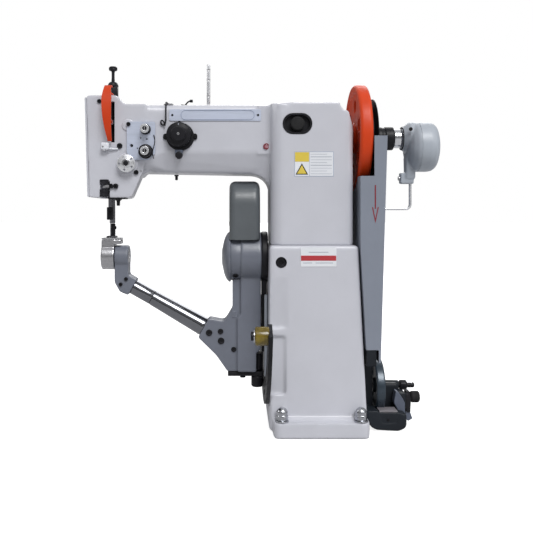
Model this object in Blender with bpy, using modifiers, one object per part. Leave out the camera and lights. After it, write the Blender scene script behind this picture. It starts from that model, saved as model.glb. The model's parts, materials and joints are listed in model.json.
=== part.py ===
"""Post-bed side-wall sole stitching machine for leather footwear.

The world is in metres with +Z up.  Sizes below are in millimetres and every
helper turns them into metres.  X runs along the arm (the needle is at -X), Y
goes from the operator (-Y) to the back, and Z = 0 is the underside of the base.
"""

import math

import bmesh
import bpy
from mathutils import Matrix, Vector

MM = 0.001
FIT = 0.3                      # clearance kept between pieces that meet

# Axes of motion
SHAFT_Z = 533                  # main shaft, handwheel and belt pulley
SWING_Z = 309                  # swing axis of the horn, the hook and the lower shaft
NEEDLE_X, NEEDLE_Y = -388, -2
PRESSER_X, PRESSER_Y = -385, 10
TAKE_UP_Y, TAKE_UP_Z = 22, 556
WINDER_Y, WINDER_Z = -10, 68
BELT_X0, BELT_X1 = -19, -1     # toothed belt between the two shafts

# White castings
BASE_TOP_Z = 334
BASE_LEFT_X, BASE_RIGHT_TOP_X, BASE_RIGHT_X = -90, 68, 84
BASE_HALF_Y = 92
FLANGE_HALF_Y, FLANGE_TOP_Z = 120, 27
COLUMN_LEFT_X, COLUMN_RIGHT_X, COLUMN_HALF_Y = -87, 61, 80
ARM_TOP_Z, ARM_BOTTOM_Z, ARM_HALF_Y = 590, 462, 55
HEAD_LEFT_X, HEAD_TOP_Z, HEAD_BOTTOM_Z, HEAD_HALF_Y = -418, 606, 420, 60

# Horn: a chrome tube that rises from the swing arm casting to the hook
HORN_ROOT = Vector((-210.8, 0, 176.4))
HORN_ANGLE = math.radians(29.5)
HORN_CONE_LENGTH = 112
HORN_LENGTH = 153.5
HORN_ROOT_R, HORN_R, HORN_BORE_R = 18, 14.25, 8
HORN_DIR = Vector((-math.cos(HORN_ANGLE), 0, math.sin(HORN_ANGLE)))
HORN_ACROSS = Vector((math.sin(HORN_ANGLE), 0, math.cos(HORN_ANGLE)))

# Sector plate and its end stops
SECTOR_IN_R, SECTOR_OUT_R, SECTOR_HALF_ANGLE = 230, 270, 70
STOP_R, STOP_Y = 15, 225
STOP_Z = 197

# Wheels on the main shaft
WHEEL_R, PULLEY_R = 100, 74
WHEEL_X0, WHEEL_X1, PULLEY_X1 = 70, 93, 109


def clear_scene():
    """Empty the file of its objects."""
    for obj in list(bpy.data.objects):
        bpy.data.objects.remove(obj, do_unlink=True)


def make_collection(name):
    """A new collection in the scene."""
    collection = bpy.data.collections.new(name)
    bpy.context.scene.collection.children.link(collection)
    return collection


def make_material(name, colour, roughness, metallic=0.0):
    """A Principled BSDF material."""
    material = bpy.data.materials.new(name)
    material.use_nodes = True
    shader = material.node_tree.nodes["Principled BSDF"]
    shader.inputs["Base Color"].default_value = (*colour, 1.0)
    shader.inputs["Roughness"].default_value = roughness
    shader.inputs["Metallic"].default_value = metallic
    return material


clear_scene()
PARTS = make_collection("sole_stitching_machine")
CUTTERS = make_collection("cutters")

WHITE = make_material("white_paint", (0.62, 0.62, 0.66), 0.42)
GREY = make_material("grey_paint", (0.19, 0.20, 0.25), 0.45)
DOME_GREY = make_material("mid_grey_paint", (0.24, 0.27, 0.30), 0.40)
COVER_GREY = make_material("blue_grey_paint", (0.27, 0.31, 0.38), 0.45)
LIGHT_GREY = make_material("light_grey_paint", (0.38, 0.41, 0.45), 0.45)
CHROME = make_material("chrome", (0.80, 0.80, 0.82), 0.12, 1.0)
STEEL = make_material("steel", (0.55, 0.55, 0.57), 0.30, 1.0)
BLACK = make_material("black_oxide", (0.02, 0.02, 0.025), 0.45)
ORANGE = make_material("orange_paint", (0.75, 0.09, 0.02), 0.40)
AMBER = make_material("amber_urethane", (0.55, 0.33, 0.01), 0.25)
PLATE = make_material("brushed_plate", (0.55, 0.60, 0.72), 0.35, 0.8)
RUBBER = make_material("black_rubber", (0.02, 0.02, 0.02), 0.75)
WINDER_GREEN = make_material("dark_green_grey", (0.04, 0.06, 0.07), 0.50)


def new_object(name, mesh, material):
    """An object in the parts collection, or a hidden cutter without material."""
    obj = bpy.data.objects.new(name, mesh)
    if material is None:
        CUTTERS.objects.link(obj)
        obj.hide_render = True
        obj.display_type = "WIRE"
    else:
        PARTS.objects.link(obj)
        mesh.materials.append(material)
    return obj


def add_bevel(obj, width, segments=2, limit=40):
    """Round the sharp edges of an object."""
    bevel = obj.modifiers.new("bevel", "BEVEL")
    bevel.width = width * MM
    bevel.segments = segments
    bevel.limit_method = "ANGLE"
    bevel.angle_limit = math.radians(limit)
    return obj


def boolean(obj, other, operation):
    """Cut another object from this one, or join it."""
    modifier = obj.modifiers.new(operation.lower(), "BOOLEAN")
    modifier.operation = operation
    modifier.object = other
    modifier.solver = "EXACT"
    return obj


def cut(obj, *cutters):
    """Take every cutter out of the object."""
    for cutter in cutters:
        boolean(obj, cutter, "DIFFERENCE")
    return obj


def join(obj, *others):
    """Add every other solid to the object."""
    for other in others:
        boolean(obj, other, "UNION")
    return obj


def frustum(name, low, high, material=None, origin=(0, 0, 0)):
    """A block whose lower and upper rectangles (x0, x1, y0, y1, z) may differ."""
    builder = bmesh.new()
    bmesh.ops.create_cube(builder, size=2)
    centre = Vector(origin)
    for vert in builder.verts:
        x0, x1, y0, y1, z = high if vert.co.z > 0 else low
        corner = Vector((x1 if vert.co.x > 0 else x0, y1 if vert.co.y > 0 else y0, z))
        vert.co = (corner - centre) * MM
    mesh = bpy.data.meshes.new(name)
    builder.to_mesh(mesh)
    builder.free()
    obj = new_object(name, mesh, material)
    obj.location = centre * MM
    return obj


def box(name, x, y, z, material=None, origin=(0, 0, 0)):
    """A block between the pairs x, y and z."""
    return frustum(name, (*x, *y, z[0]), (*x, *y, z[1]), material, origin)


AXIS_ROTATION = {
    "X": Matrix.Rotation(math.radians(90), 4, "Y"),
    "Y": Matrix.Rotation(math.radians(-90), 4, "X"),
    "Z": Matrix.Identity(4),
}


def turned(name, profile, axis, centre, material=None, steps=32):
    """A turned solid: (radius, height) pairs from the top end down the outside.

    Heights are along the axis from the centre.  A profile that doesn't start
    on the axis closes on itself and makes a ring.
    """
    mesh = bpy.data.meshes.new(name)
    builder = bmesh.new()
    verts = [builder.verts.new((r * MM, 0, h * MM)) for r, h in profile]
    pairs = list(zip(verts, verts[1:]))
    if profile[0][0] > 0:
        pairs.append((verts[-1], verts[0]))
    for start, end in pairs:
        builder.edges.new((start, end))
    builder.to_mesh(mesh)
    builder.free()
    obj = new_object(name, mesh, material)
    screw = obj.modifiers.new("screw", "SCREW")
    screw.axis = "Z"
    screw.steps = steps
    screw.render_steps = steps
    screw.use_merge_vertices = True
    screw.merge_threshold = 0.00001
    screw.use_smooth_shade = True
    rotation = AXIS_ROTATION[axis] if isinstance(axis, str) else axis
    obj.matrix_world = Matrix.Translation(Vector(centre) * MM) @ rotation
    return obj


def rod(name, radius, low, high, axis, centre, material=None, steps=16):
    """A plain round bar from low to high along an axis through the centre."""
    profile = [(0, high), (radius, high), (radius, low), (0, low)]
    return turned(name, profile, axis, centre, material, steps)


def ring(name, outer, inner, low, high, axis, centre, material=None, steps=32):
    """A plain round sleeve."""
    profile = [(outer, high), (outer, low), (inner, low), (inner, high)]
    return turned(name, profile, axis, centre, material, steps)


def arc(centre, radius, start, end, steps):
    """Points on an arc, angles in degrees."""
    points = []
    for index in range(steps + 1):
        angle = math.radians(start + (end - start) * index / steps)
        point = (centre[0] + radius * math.cos(angle), centre[1] + radius * math.sin(angle))
        points.append(point)
    return points


def rounded(corners, steps=3):
    """Corner points (a, b, radius) as an outline with an arc at each corner."""
    outline = []
    count = len(corners)
    for index, (a, b, radius) in enumerate(corners):
        corner = Vector((a, b))
        if radius == 0:
            outline.append(tuple(corner))
            continue
        before = (Vector(corners[index - 1][:2]) - corner).normalized()
        after = (Vector(corners[(index + 1) % count][:2]) - corner).normalized()
        half = before.angle(after) / 2
        reach = radius / math.tan(half)
        centre = corner + (before + after).normalized() * radius / math.sin(half)
        spokes = [corner + before * reach - centre, corner + after * reach - centre]
        start, end = (math.degrees(math.atan2(spoke.y, spoke.x)) for spoke in spokes)
        end = start + (end - start + 180) % 360 - 180
        outline += arc(centre, radius, start, end, steps)
    return outline


def rectangle(a, b, radius=0):
    """A rectangle between the pairs a and b with rounded corners."""
    corners = [(a[0], b[0]), (a[1], b[0]), (a[1], b[1]), (a[0], b[1])]
    return rounded([(*corner, radius) for corner in corners])


PLANE_ROTATION = {
    "XZ": Matrix.Rotation(math.radians(90), 4, "X"),
    "YZ": Matrix.Rotation(math.radians(90), 4, "Z") @ Matrix.Rotation(math.radians(90), 4, "X"),
    "XY": Matrix.Identity(4),
}
PLANE_NORMAL = {"XZ": Vector((0, 1, 0)), "YZ": Vector((1, 0, 0)), "XY": Vector((0, 0, 1))}


def curve_to_mesh(curve_object, name, material):
    """The curve as a closed mesh object in the same place."""
    bpy.context.view_layer.update()
    graph = bpy.context.evaluated_depsgraph_get()
    mesh = bpy.data.meshes.new_from_object(curve_object.evaluated_get(graph))
    builder = bmesh.new()
    builder.from_mesh(mesh)
    bmesh.ops.remove_doubles(builder, verts=builder.verts, dist=0.00001)
    bmesh.ops.recalc_face_normals(builder, faces=builder.faces)
    builder.to_mesh(mesh)
    builder.free()
    mesh.materials.clear()
    obj = new_object(name, mesh, material)
    obj.matrix_world = curve_object.matrix_world.copy()
    bpy.data.objects.remove(curve_object)
    return obj


def prism(name, outlines, plane, depth, material=None):
    """A flat outline, and any holes in it, given a thickness between two depths."""
    curve = bpy.data.curves.new(name, "CURVE")
    curve.dimensions = "2D"
    curve.fill_mode = "BOTH"
    curve.extrude = abs(depth[1] - depth[0]) / 2 * MM
    for outline in outlines:
        spline = curve.splines.new("POLY")
        spline.points.add(len(outline) - 1)
        spline.use_cyclic_u = True
        for point, (a, b) in zip(spline.points, outline):
            point.co = (a * MM, b * MM, 0, 1)
    guide = bpy.data.objects.new(name + "_outline", curve)
    CUTTERS.objects.link(guide)
    middle = PLANE_NORMAL[plane] * (depth[0] + depth[1]) / 2 * MM
    guide.matrix_world = Matrix.Translation(middle) @ PLANE_ROTATION[plane]
    return curve_to_mesh(guide, name, material)


def wire(name, points, radius, material, resolution=2):
    """A bent round wire through the points."""
    curve = bpy.data.curves.new(name, "CURVE")
    curve.dimensions = "3D"
    curve.bevel_depth = radius * MM
    curve.bevel_resolution = resolution
    curve.use_fill_caps = True
    spline = curve.splines.new("POLY")
    spline.points.add(len(points) - 1)
    for point, place in zip(spline.points, points):
        point.co = (*(Vector(place) * MM), 1)
    guide = bpy.data.objects.new(name + "_path", curve)
    CUTTERS.objects.link(guide)
    return curve_to_mesh(guide, name, material)


def move_origin(obj, point):
    """Put the object's origin at a point of its joint axis."""
    bpy.context.view_layer.update()
    target = Vector(point) * MM
    offset = obj.matrix_world.inverted() @ target
    obj.data.transform(Matrix.Translation(-offset))
    obj.matrix_world = obj.matrix_world @ Matrix.Translation(offset)
    return obj


def smooth(obj, angle=35):
    """Shade a turned or bent piece smooth."""
    obj.data.shade_smooth()
    obj.data.set_sharp_from_angle(angle=math.radians(angle))
    return obj


# ---------------------------------------------------------------- castings

def base_casting():
    """Lower half of the column on its bolting flange, open at the top."""
    low = (BASE_LEFT_X - 1, BASE_RIGHT_X, -BASE_HALF_Y - 3, BASE_HALF_Y + 3, 6)
    high = (BASE_LEFT_X, BASE_RIGHT_TOP_X, -BASE_HALF_Y, BASE_HALF_Y, BASE_TOP_Z)
    base = frustum("base_casting", low, high, WHITE)
    add_bevel(base, 6, 2)
    flange_y = (-FLANGE_HALF_Y, FLANGE_HALF_Y)
    flange = prism("flange", [rectangle((-85, 84), flange_y, 14)], "XY", (0, FLANGE_TOP_Z))
    add_bevel(flange, 3, 2, 60)
    join(base, flange)
    cut(base, frustum("belt_well", (-42, 24, -33, 33, 14), (-42, 24, -33, 33, 400)))
    cut(base, frustum("side_pocket", (-82, -54, -110, -89.5, 71), (-82, -54, -110, -86.5, 275)))
    cut(base, rod("plug_hole", 10, -96, -84, "Y", (-69.4, 0, 304), steps=16))
    cut(base, rod("trunnion_seat", 22.3, -100, -70, "X", (0, 0, SWING_Z), steps=24))
    cut(base, rod("lower_shaft_bore", 8.6, -80, 61, "X", (0, 0, SWING_Z), steps=16))
    return base


def arm_blocks():
    """The arm with its sloping underside edge, and the fillet to the column."""
    half = ARM_HALF_Y
    corners = [(-half, ARM_TOP_Z, 9), (-half, 503, 16), (-38, ARM_BOTTOM_Z, 9)]
    corners += [(-a, b, radius) for a, b, radius in reversed(corners)]
    arm = prism("arm_block", [rounded(corners)], "YZ", (-366, -60))
    fillet = arc((-120, 429), 33, 90, 0, 6)
    gusset_outline = fillet + [(-70, 429), (-70, 520), (-120, 520)]
    gusset = prism("arm_gusset", [gusset_outline], "XZ", (-37, 37))
    add_bevel(gusset, 4, 2, 60)
    return arm, gusset


def head_block():
    """The head casting with its raised crown and chamfered lower corner."""
    corners = [
        (HEAD_LEFT_X, HEAD_TOP_Z, 3),
        (-366, HEAD_TOP_Z, 9),
        (-352, ARM_TOP_Z, 5),
        (-312, ARM_TOP_Z, 2),
        (-315, 462, 6),
        (-336, HEAD_BOTTOM_Z, 7),
        (HEAD_LEFT_X + 5, HEAD_BOTTOM_Z, 3),
    ]
    head = prism("head_block", [rounded(corners)], "XZ", (-HEAD_HALF_Y, HEAD_HALF_Y))
    return add_bevel(head, 7, 2, 60)


def upper_casting():
    """Upper column, arm and head in one casting with its shaft ways."""
    corners = [
        (COLUMN_LEFT_X, BASE_TOP_Z + FIT, 0),
        (COLUMN_RIGHT_X, BASE_TOP_Z + FIT, 0),
        (58, ARM_TOP_Z, 24),
        (COLUMN_LEFT_X, ARM_TOP_Z, 0),
    ]
    half = COLUMN_HALF_Y
    casting = prism("upper_casting", [rounded(corners, 5)], "XZ", (-half, half), WHITE)
    add_bevel(casting, 9, 2, 60)
    join(casting, *arm_blocks(), head_block())
    cut(casting, box("column_well", (-40, 22), (-32, 32), (320, 570)))
    cut(casting, box("arm_way", (-328, -30), (-30, 30), (497, 570)))
    cut(casting, box("arm_window", (-300, -110), (20, 70), (515, 562)))
    cut(casting, box("head_way", (-440, -345), (-33, 32), (466, 588)))
    cut(casting, rod("main_shaft_bore", 8.5, -350, 80, "X", (0, 0, SHAFT_Z), steps=16))
    cut(casting, box("clamp_slot", (-395.5, -378.5), (-90, 5.2), (400, 450)))
    cut(casting, rod("needle_bar_bore", 4.2, 430, 480, "Z", (NEEDLE_X, NEEDLE_Y, 0)))
    cut(casting, rod("presser_bar_bore", 4.4, 400, 480, "Z", (PRESSER_X, PRESSER_Y, 0)))
    cut(casting, rod("adjuster_bore", 3.6, 580, 620, "Z", (PRESSER_X, PRESSER_Y, 0)))
    cut(casting, box("take_up_slot", (-376.2, -369.8), (-90, -30), (520, 594)))
    window = rectangle((-66.3, -13.2), (532.7, 570.3), 18.7)
    cut(casting, prism("oval_recess", [window], "XZ", (-90, -72)))
    return casting


def face_cover():
    """Removable cover on the left end of the head."""
    outline = rounded([(-425, 601, 4), (-418.4, 604, 1), (-413.5, 421, 1), (-419.5, 421, 4)])
    cover = prism("face_cover", [outline], "XZ", (-57, 57), WHITE)
    return add_bevel(cover, 1.5, 2, 60)


def arm_rear_cover():
    """Sheet cover over the arm's rear window."""
    outline = rectangle((-308, -102), (508, 570), 8)
    depth = (ARM_HALF_Y + FIT, ARM_HALF_Y + 3)
    return prism("arm_rear_cover", [outline], "XZ", depth, WHITE)


def foot_nuts():
    """Acorn nuts with their washers, one at each corner of the flange."""
    profile = [(0, 26.5)] + arc((0, 16), 10.2, 70, 0, 3)
    profile += [(10.2, 3.4), (12, 3.4), (12, 0), (0, 0)]
    for index, (x, y) in enumerate([(-69, -107), (69, -107), (-69, 107), (69, 107)], 1):
        centre = (x, y, FLANGE_TOP_Z + FIT)
        smooth(turned(f"foot_nut_{index}", profile, "Z", centre, CHROME, 12))


# ---------------------------------------------------------- fixed outer parts

def sector_plate():
    """Black ring sector on the left side of the base, round the swing axis."""
    start, end = -90 - SECTOR_HALF_ANGLE, -90 + SECTOR_HALF_ANGLE
    outline = arc((0, SWING_Z), SECTOR_OUT_R, start, end, 20)
    outline += arc((0, SWING_Z), SECTOR_IN_R, end, start, 20)
    return prism("sector_plate", [outline], "YZ", (-96.5, -91.5), BLACK)


def end_stops():
    """Urethane buffers that the swinging horn meets at each end."""
    profile = [(0, -96.8), (14, -96.8), (STOP_R, -98), (STOP_R, -120), (13.6, -121.5),
               (6.5, -121.8), (6.5, -125.8), (0, -125.8)]
    for side, y in (("front", -STOP_Y), ("rear", STOP_Y)):
        smooth(turned(f"end_stop_{side}", profile, "X", (0, y, STOP_Z), AMBER, 16))


def belt_cover():
    """Sheet-metal channel round the wheels, open at the top and the bottom."""
    left_low, left_mid = 81, 69.5
    outer = [(left_low, 128), (105, 128), (117, 528), (94, 528), (94, 457), (left_mid, 457),
             (left_mid, 334)]
    cover = prism("belt_cover", [outer], "XZ", (-100, 100), COVER_GREY)
    inner = [(left_low + 2.3, 110), (102.6, 110), (114.9, 560), (71.6, 560), (71.6, 334)]
    cut(cover, prism("cover_hollow", [inner], "XZ", (-98, 98)))
    cut(cover, rod("wheel_notch", 104, 60, 80, "X", (0, 0, SHAFT_Z), steps=32))
    cut(cover, rod("coupling_notch", 25, 105, 130, "X", (0, 0, SHAFT_Z), steps=16))
    return cover


def oil_window():
    """Oval black filler cup with its knob, let into the column's face."""
    cup = prism("oil_window", [rectangle((-66, -13.5), (533, 570), 18.4)], "XZ", (-79, -72.3), BLACK)
    hollow = prism("cup_hollow", [rectangle((-62.5, -17), (536.5, 566.5), 15)], "XZ", (-95, -75))
    cut(cup, hollow)
    knob = [(0, -74), (12.5, -74), (12.5, -83), (10.5, -85), (0, -85)]
    return join(cup, turned("cup_knob", knob, "Y", (-39.7, 0, 551.5), steps=20))


def name_plate():
    """Blank name plate on the arm."""
    depth = (-ARM_HALF_Y - 2.4, -ARM_HALF_Y - FIT)
    return prism("name_plate", [rectangle((-271, -104), (559.5, 580.5), 5)], "XZ", depth, PLATE)


def thread_post():
    """Thread guide post on the arm with three cross holes."""
    profile = [(0, 674), (2.4, 674), (3.25, 672.5), (3.25, 596), (6.5, 595), (6.5, 590.3), (0, 590.3)]
    post = smooth(turned("thread_post", profile, "Z", (-202, 0, 0), CHROME, 16))
    for index, z in enumerate((662, 643, 612)):
        cut(post, rod(f"post_eye_{index}", 1.2, -10, 10, "Y", (-202, 0, z), steps=8))
    return post


def tension_plate():
    """Bright plate that carries the thread tensions."""
    corners = [(-347, 557, 3), (-296, 557, 3), (-296, 500, 3), (-308, 488, 5),
               (-333, 488, 3), (-347, 500, 4)]
    plate = prism("tension_plate", [rounded(corners)], "XZ", (-64.4, -60.3), PLATE)
    return add_bevel(plate, 0.6, 1, 60)


def take_up_guard():
    """Orange strip bowed over the take-up lever's slot."""
    middle = (-52, 563)
    outer = [(middle[0] + 30 * a, middle[1] + 56 * b) for a, b in arc((0, 0), 1, 80, 222, 14)]
    inner = [(middle[0] + 27.5 * a, middle[1] + 53.5 * b) for a, b in arc((0, 0), 1, 222, 80, 14)]
    guard = prism("take_up_guard", [outer + inner], "YZ", (-390, -374), ORANGE)
    return join(guard, box("guard_foot", (-390, -374), (-52, -38), (606.3, 619)))


def thread_block():
    """Moulded white thread block with a side lip, on the front of the head."""
    block = box("thread_block", (-393, -378), (-71, -60.3), (505, 519), WHITE)
    add_bevel(block, 1.5, 2)
    lip = box("block_lip", (-380, -365), (-64, -60.3), (507, 517))
    return join(block, lip)


def presser_tower():
    """Black block and domed seat that hold the presser adjusting screw."""
    x = (PRESSER_X - 7, PRESSER_X + 9)
    tower = box("presser_tower", x, (PRESSER_Y - 8, PRESSER_Y + 8), (606.3, 634), BLACK)
    add_bevel(tower, 1.5, 2)
    centre = (PRESSER_X, PRESSER_Y, 0)
    profile = [(0, 643), (5, 643), (8.5, 640), (10, 636.5), (10, 632), (0, 632)]
    join(tower, turned("tower_dome", profile, "Z", centre, steps=16))
    return cut(tower, rod("tower_bore", 3.6, 600, 650, "Z", centre, steps=12))


def synchroniser():
    """Needle position sensor housing with its bracket, and the rod that holds it."""
    drum = [(0, 230), (33, 230), (43, 224), (47, 212), (47, 177), (38, 169), (0, 169)]
    housing = turned("sync_housing", drum, "X", (0, 0, 517), LIGHT_GREY, 24)
    neck = [(0, 190), (30, 190), (30, 178), (21, 163.6), (0, 163.6)]
    join(housing, turned("sync_neck", neck, "X", (0, 0, SHAFT_Z), steps=22))
    join(housing, add_bevel(box("sync_lug", (171, 189), (-9, 9), (455, 490)), 3, 2))
    join(housing, add_bevel(box("sync_clamp", (161, 187), (-8, 8), (447, 468)), 2, 2))
    cut(housing, rod("sync_bore", 6.6, 150, 196, "X", (0, 0, SHAFT_Z), steps=20))
    smooth(housing)
    bend = [(x, 0, z) for x, z in arc((173, 408), 8, 0, -90, 5)]
    smooth(wire("sync_rod", [(181, 0, 446.6), *bend, (117, 0, 400)], 2.75, STEEL, 3))


def dial_plate():
    """Black base of the stitch-length dial with its side ears."""
    centre = (-253, 0, 533.6)
    depth = (-ARM_HALF_Y - FIT, -ARM_HALF_Y - 4)
    plate = rod("dial_plate", 25.4, depth[1], depth[0], "Y", centre, BLACK, 24)
    ears = prism("dial_ears", [rectangle((-283, -223), (526, 541), 5)], "XZ", (depth[1] + 1, depth[0]))
    join(plate, ears)
    return smooth(plate)


# ---------------------------------------------------------------- swing arm

def swing_trunnion():
    """Fixed journal that the swing arm turns on, with the lower shaft inside."""
    profile = [(22, -70.5), (22, -90.4), (48, -90.4), (48, -102), (24, -102),
               (24, -139), (10, -139), (10, -70.5)]
    trunnion = turned("swing_trunnion", profile, "X", (0, 0, SWING_Z), BLACK, 30)
    return smooth(join(trunnion, box("trunnion_skirt", (-101.5, -92), (-22, 22), (240, 275))))


def side_plate():
    """Light plate between the base and the swing arm."""
    return box("side_plate", (-96.8, -91.5), (-30, 30), (88, 239.5), LIGHT_GREY)


def swing_arm():
    """Grey casting that hangs from the trunnion and holds the horn."""
    seat_top = HORN_ROOT + HORN_ACROSS * 20
    seat_bottom = HORN_ROOT - HORN_ACROSS * 20
    corners = [
        (-140.2, 302, 0), (-140.2, 261.5, 0), (-155, 261.5, 2), (-155, 215, 12), (-172, 192, 6),
        (seat_top.x, seat_top.z, 2), (seat_bottom.x, seat_bottom.z, 2), (-185, 126, 30),
        (-165, 95.2, 4), (-112, 95.2, 3), (-112, 131, 3), (-103.2, 137, 3), (-103.2, 302, 0),
    ]
    arm = prism("swing_arm_casting", [rounded(corners)], "XZ", (-28, 28), GREY)
    add_bevel(arm, 4, 2, 60)
    centre = (0, 0, SWING_Z)
    join(arm, rod("swing_hub", 47, -141, -102.5, "X", centre, steps=32))
    cut(arm, rod("swing_bore", 24.3, -170, -90, "X", centre, steps=30))
    cut(arm, rod("horn_socket", 6.4, -40, 20, horn_rotation(), HORN_ROOT, steps=16))
    return smooth(arm)


def horn_rotation():
    """Rotation that turns local Z along the horn."""
    return HORN_DIR.to_track_quat("Z", "Y").to_matrix().to_4x4()


def bearing_cap():
    """Rounded cap and collar that close the swing bearing."""
    edge = arc((39, -167), 9, 0, -90, 3)
    profile = [(0, -165), (30, -165), (30, -141.3), (44.5, -141.3), (44.5, -160), (48, -160.4)]
    profile += edge + [(0, -176)]
    return smooth(turned("bearing_cap", profile, "X", (0, 0, SWING_Z), GREY, 28))


def dome_cover():
    """Domed cover of the swing arm's balance weight, saddled on the bearing."""
    half, centre_z, bottom_z = 45, 407, 342
    outline = arc((0, centre_z), half, 0, 180, 16) + [(-half, bottom_z), (half, bottom_z)]
    dome = prism("dome_cover", [outline], "YZ", (-162, -105), DOME_GREY)
    add_bevel(dome, 8, 2, 60)
    cut(dome, rod("dome_saddle", 48.6, -180, -90, "X", (0, 0, SWING_Z), steps=32))
    return smooth(dome)


def horn_tubes():
    """Conical root and straight end of the hollow horn."""
    rotation = horn_rotation()
    first = HORN_CONE_LENGTH
    cone = [(HORN_R, first), (HORN_ROOT_R, FIT), (HORN_BORE_R, FIT), (HORN_BORE_R, first)]
    smooth(turned("horn_cone", cone, rotation, HORN_ROOT, CHROME, 24))
    last = HORN_LENGTH - FIT
    start = first + FIT
    smooth(ring("horn_tube", HORN_R, HORN_BORE_R, start, last, rotation, HORN_ROOT, CHROME, 24))


def horn_knuckle():
    """Knuckle at the tip of the horn; its eye turns on the hook head."""
    face = HORN_ROOT + HORN_DIR * HORN_LENGTH
    upper, lower = face + HORN_ACROSS * 17, face - HORN_ACROSS * 17
    corners = [(-378, 309, 0), (-378, 262, 12), (-368, 244, 8), (lower.x, lower.z, 2),
               (upper.x, upper.z, 2), (-352, 276, 5), (-352, 309, 0)]
    knuckle = prism("horn_knuckle", [rounded(corners)], "XZ", (-17, 17), GREY)
    add_bevel(knuckle, 3, 2, 60)
    centre = (0, 0, SWING_Z)
    join(knuckle, rod("knuckle_eye", 22, -378, -352, "X", centre, steps=24))
    cut(knuckle, rod("knuckle_bore", 12.3, -390, -340, "X", centre, steps=20))
    cut(knuckle, rod("knuckle_way", 6.4, -30, 30, horn_rotation(), face, steps=16))
    return smooth(knuckle)


def swing_lock():
    """Clamp bracket under the swing arm and its knurled lock knob."""
    bracket = box("lock_bracket", (-165, -98), (-20, 20), (86.8, 94.9), BLACK)
    add_bevel(bracket, 1.5, 2)
    join(bracket, box("lock_jaw", (-111, -97.2), (0, 18), (68, 127)))
    cut(bracket, rod("lock_bore", 3.4, 80, 100, "Z", (-110, -12, 0), steps=12))
    profile = [(0, 90), (3.1, 90), (3.1, 86.4), (10, 86.4), (11, 85), (11, 68), (9.5, 66), (0, 66)]
    smooth(turned("lock_knob", profile, "Z", (-110, -12, 0), BLACK, 14))


# ------------------------------------------------------------------ hook end

def hook_head():
    """Upright head on the horn's tip with the hook race open to the left."""
    centre = (0, 0, SWING_Z)
    head = rod("hook_head", 24, -403, -378.4, "X", centre, STEEL, 28)
    join(head, box("hook_shoulder", (-403, -378.4), (-16, 16), (SWING_Z, 341.6)))
    join(head, box("plate_seat", (-403, -366), (-15.5, 15.5), (333, 341.6)))
    join(head, rod("hook_spigot", 12, -379, -352, "X", centre, steps=20))
    cut(head, rod("hook_race", 20.4, -410, -386, "X", centre, steps=24))
    cut(head, rod("hook_shaft_bore", 4.6, -390, -340, "X", centre, steps=16))
    cut(head, rod("needle_way", 3, 309, 350, "Z", (NEEDLE_X, NEEDLE_Y, 0), steps=12))
    return smooth(head)


def throat_plate():
    """Polished plate with the needle hole and the feed slot."""
    outline = rectangle((-403, -366), (-15, 15), 3)
    needle_hole = arc((NEEDLE_X, NEEDLE_Y), 1.8, 0, 330, 11)
    feed_slot = rectangle((-384, -374), (-6, 2))
    return prism("throat_plate", [outline, needle_hole, feed_slot], "XY", (341.9, 345), CHROME)


def rotary_hook():
    """Rotating hook cup with its shaft."""
    profile = [(0, -352.5), (4.2, -352.5), (4.2, -387), (19.6, -387), (19.6, -400),
               (16.2, -400), (16.2, -391), (0, -391)]
    return smooth(turned("rotary_hook", profile, "X", (0, 0, SWING_Z), STEEL, 22))


def bobbin_parts():
    """Bobbin case in the hook, and the bobbin in the case."""
    centre = (0, 0, SWING_Z)
    case = [(0, -391.4), (15.6, -391.4), (15.6, -401.5), (14.4, -401.5), (14.4, -392.6), (0, -392.6)]
    smooth(turned("bobbin_case", case, "X", centre, CHROME, 20))
    bobbin = [(13.8, -393), (13.8, -394.2), (6, -394.2), (6, -399.2), (13.8, -399.2),
              (13.8, -400.4), (3, -400.4), (3, -393)]
    smooth(turned("bobbin", bobbin, "X", centre, STEEL, 16))


def horn_shaft():
    """Drive shaft inside the horn with a small bevel gear at its lower end."""
    end = HORN_LENGTH + 8
    profile = [(0, end), (5, end), (5, -24), (0, -24)]
    return smooth(turned("horn_shaft", profile, horn_rotation(), HORN_ROOT, STEEL, 14))


# ------------------------------------------------------------- main shaft

def main_shaft():
    """Shaft through the arm with its crank disc, and the toothed belt pulley."""
    profile = [(0, 182), (6, 182), (6, 109.6), (8.2, 109.6), (8.2, 0), (26, 0), (26, -20),
               (8.2, -20), (8.2, -352), (24, -352), (24, -366), (0, -366)]
    shaft = turned("main_shaft", profile, "X", (0, 0, SHAFT_Z), STEEL, 20)
    pin = rod("crank_pin", 3.2, -369.6, -360, "X", (0, 0, SHAFT_Z - 15), steps=12)
    return smooth(join(shaft, pin))


def lower_shaft():
    """Shaft on the swing axis with its belt pulley and its drive gear."""
    profile = [(0, 60), (8.2, 60), (8.2, 0), (26, 0), (26, -20), (8.2, -20), (8.2, -146),
               (16, -148), (16, -158), (0, -158)]
    return smooth(turned("lower_shaft", profile, "X", (0, 0, SWING_Z), STEEL, 20))


def timing_belt():
    """Toothed belt from the main shaft down to the lower shaft."""
    def loop(radius):
        return arc((0, SHAFT_Z), radius, 0, 180, 12) + arc((0, SWING_Z), radius, 180, 360, 12)
    return prism("timing_belt", [loop(29), loop(26.5)], "YZ", (BELT_X0, BELT_X1), RUBBER)


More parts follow.
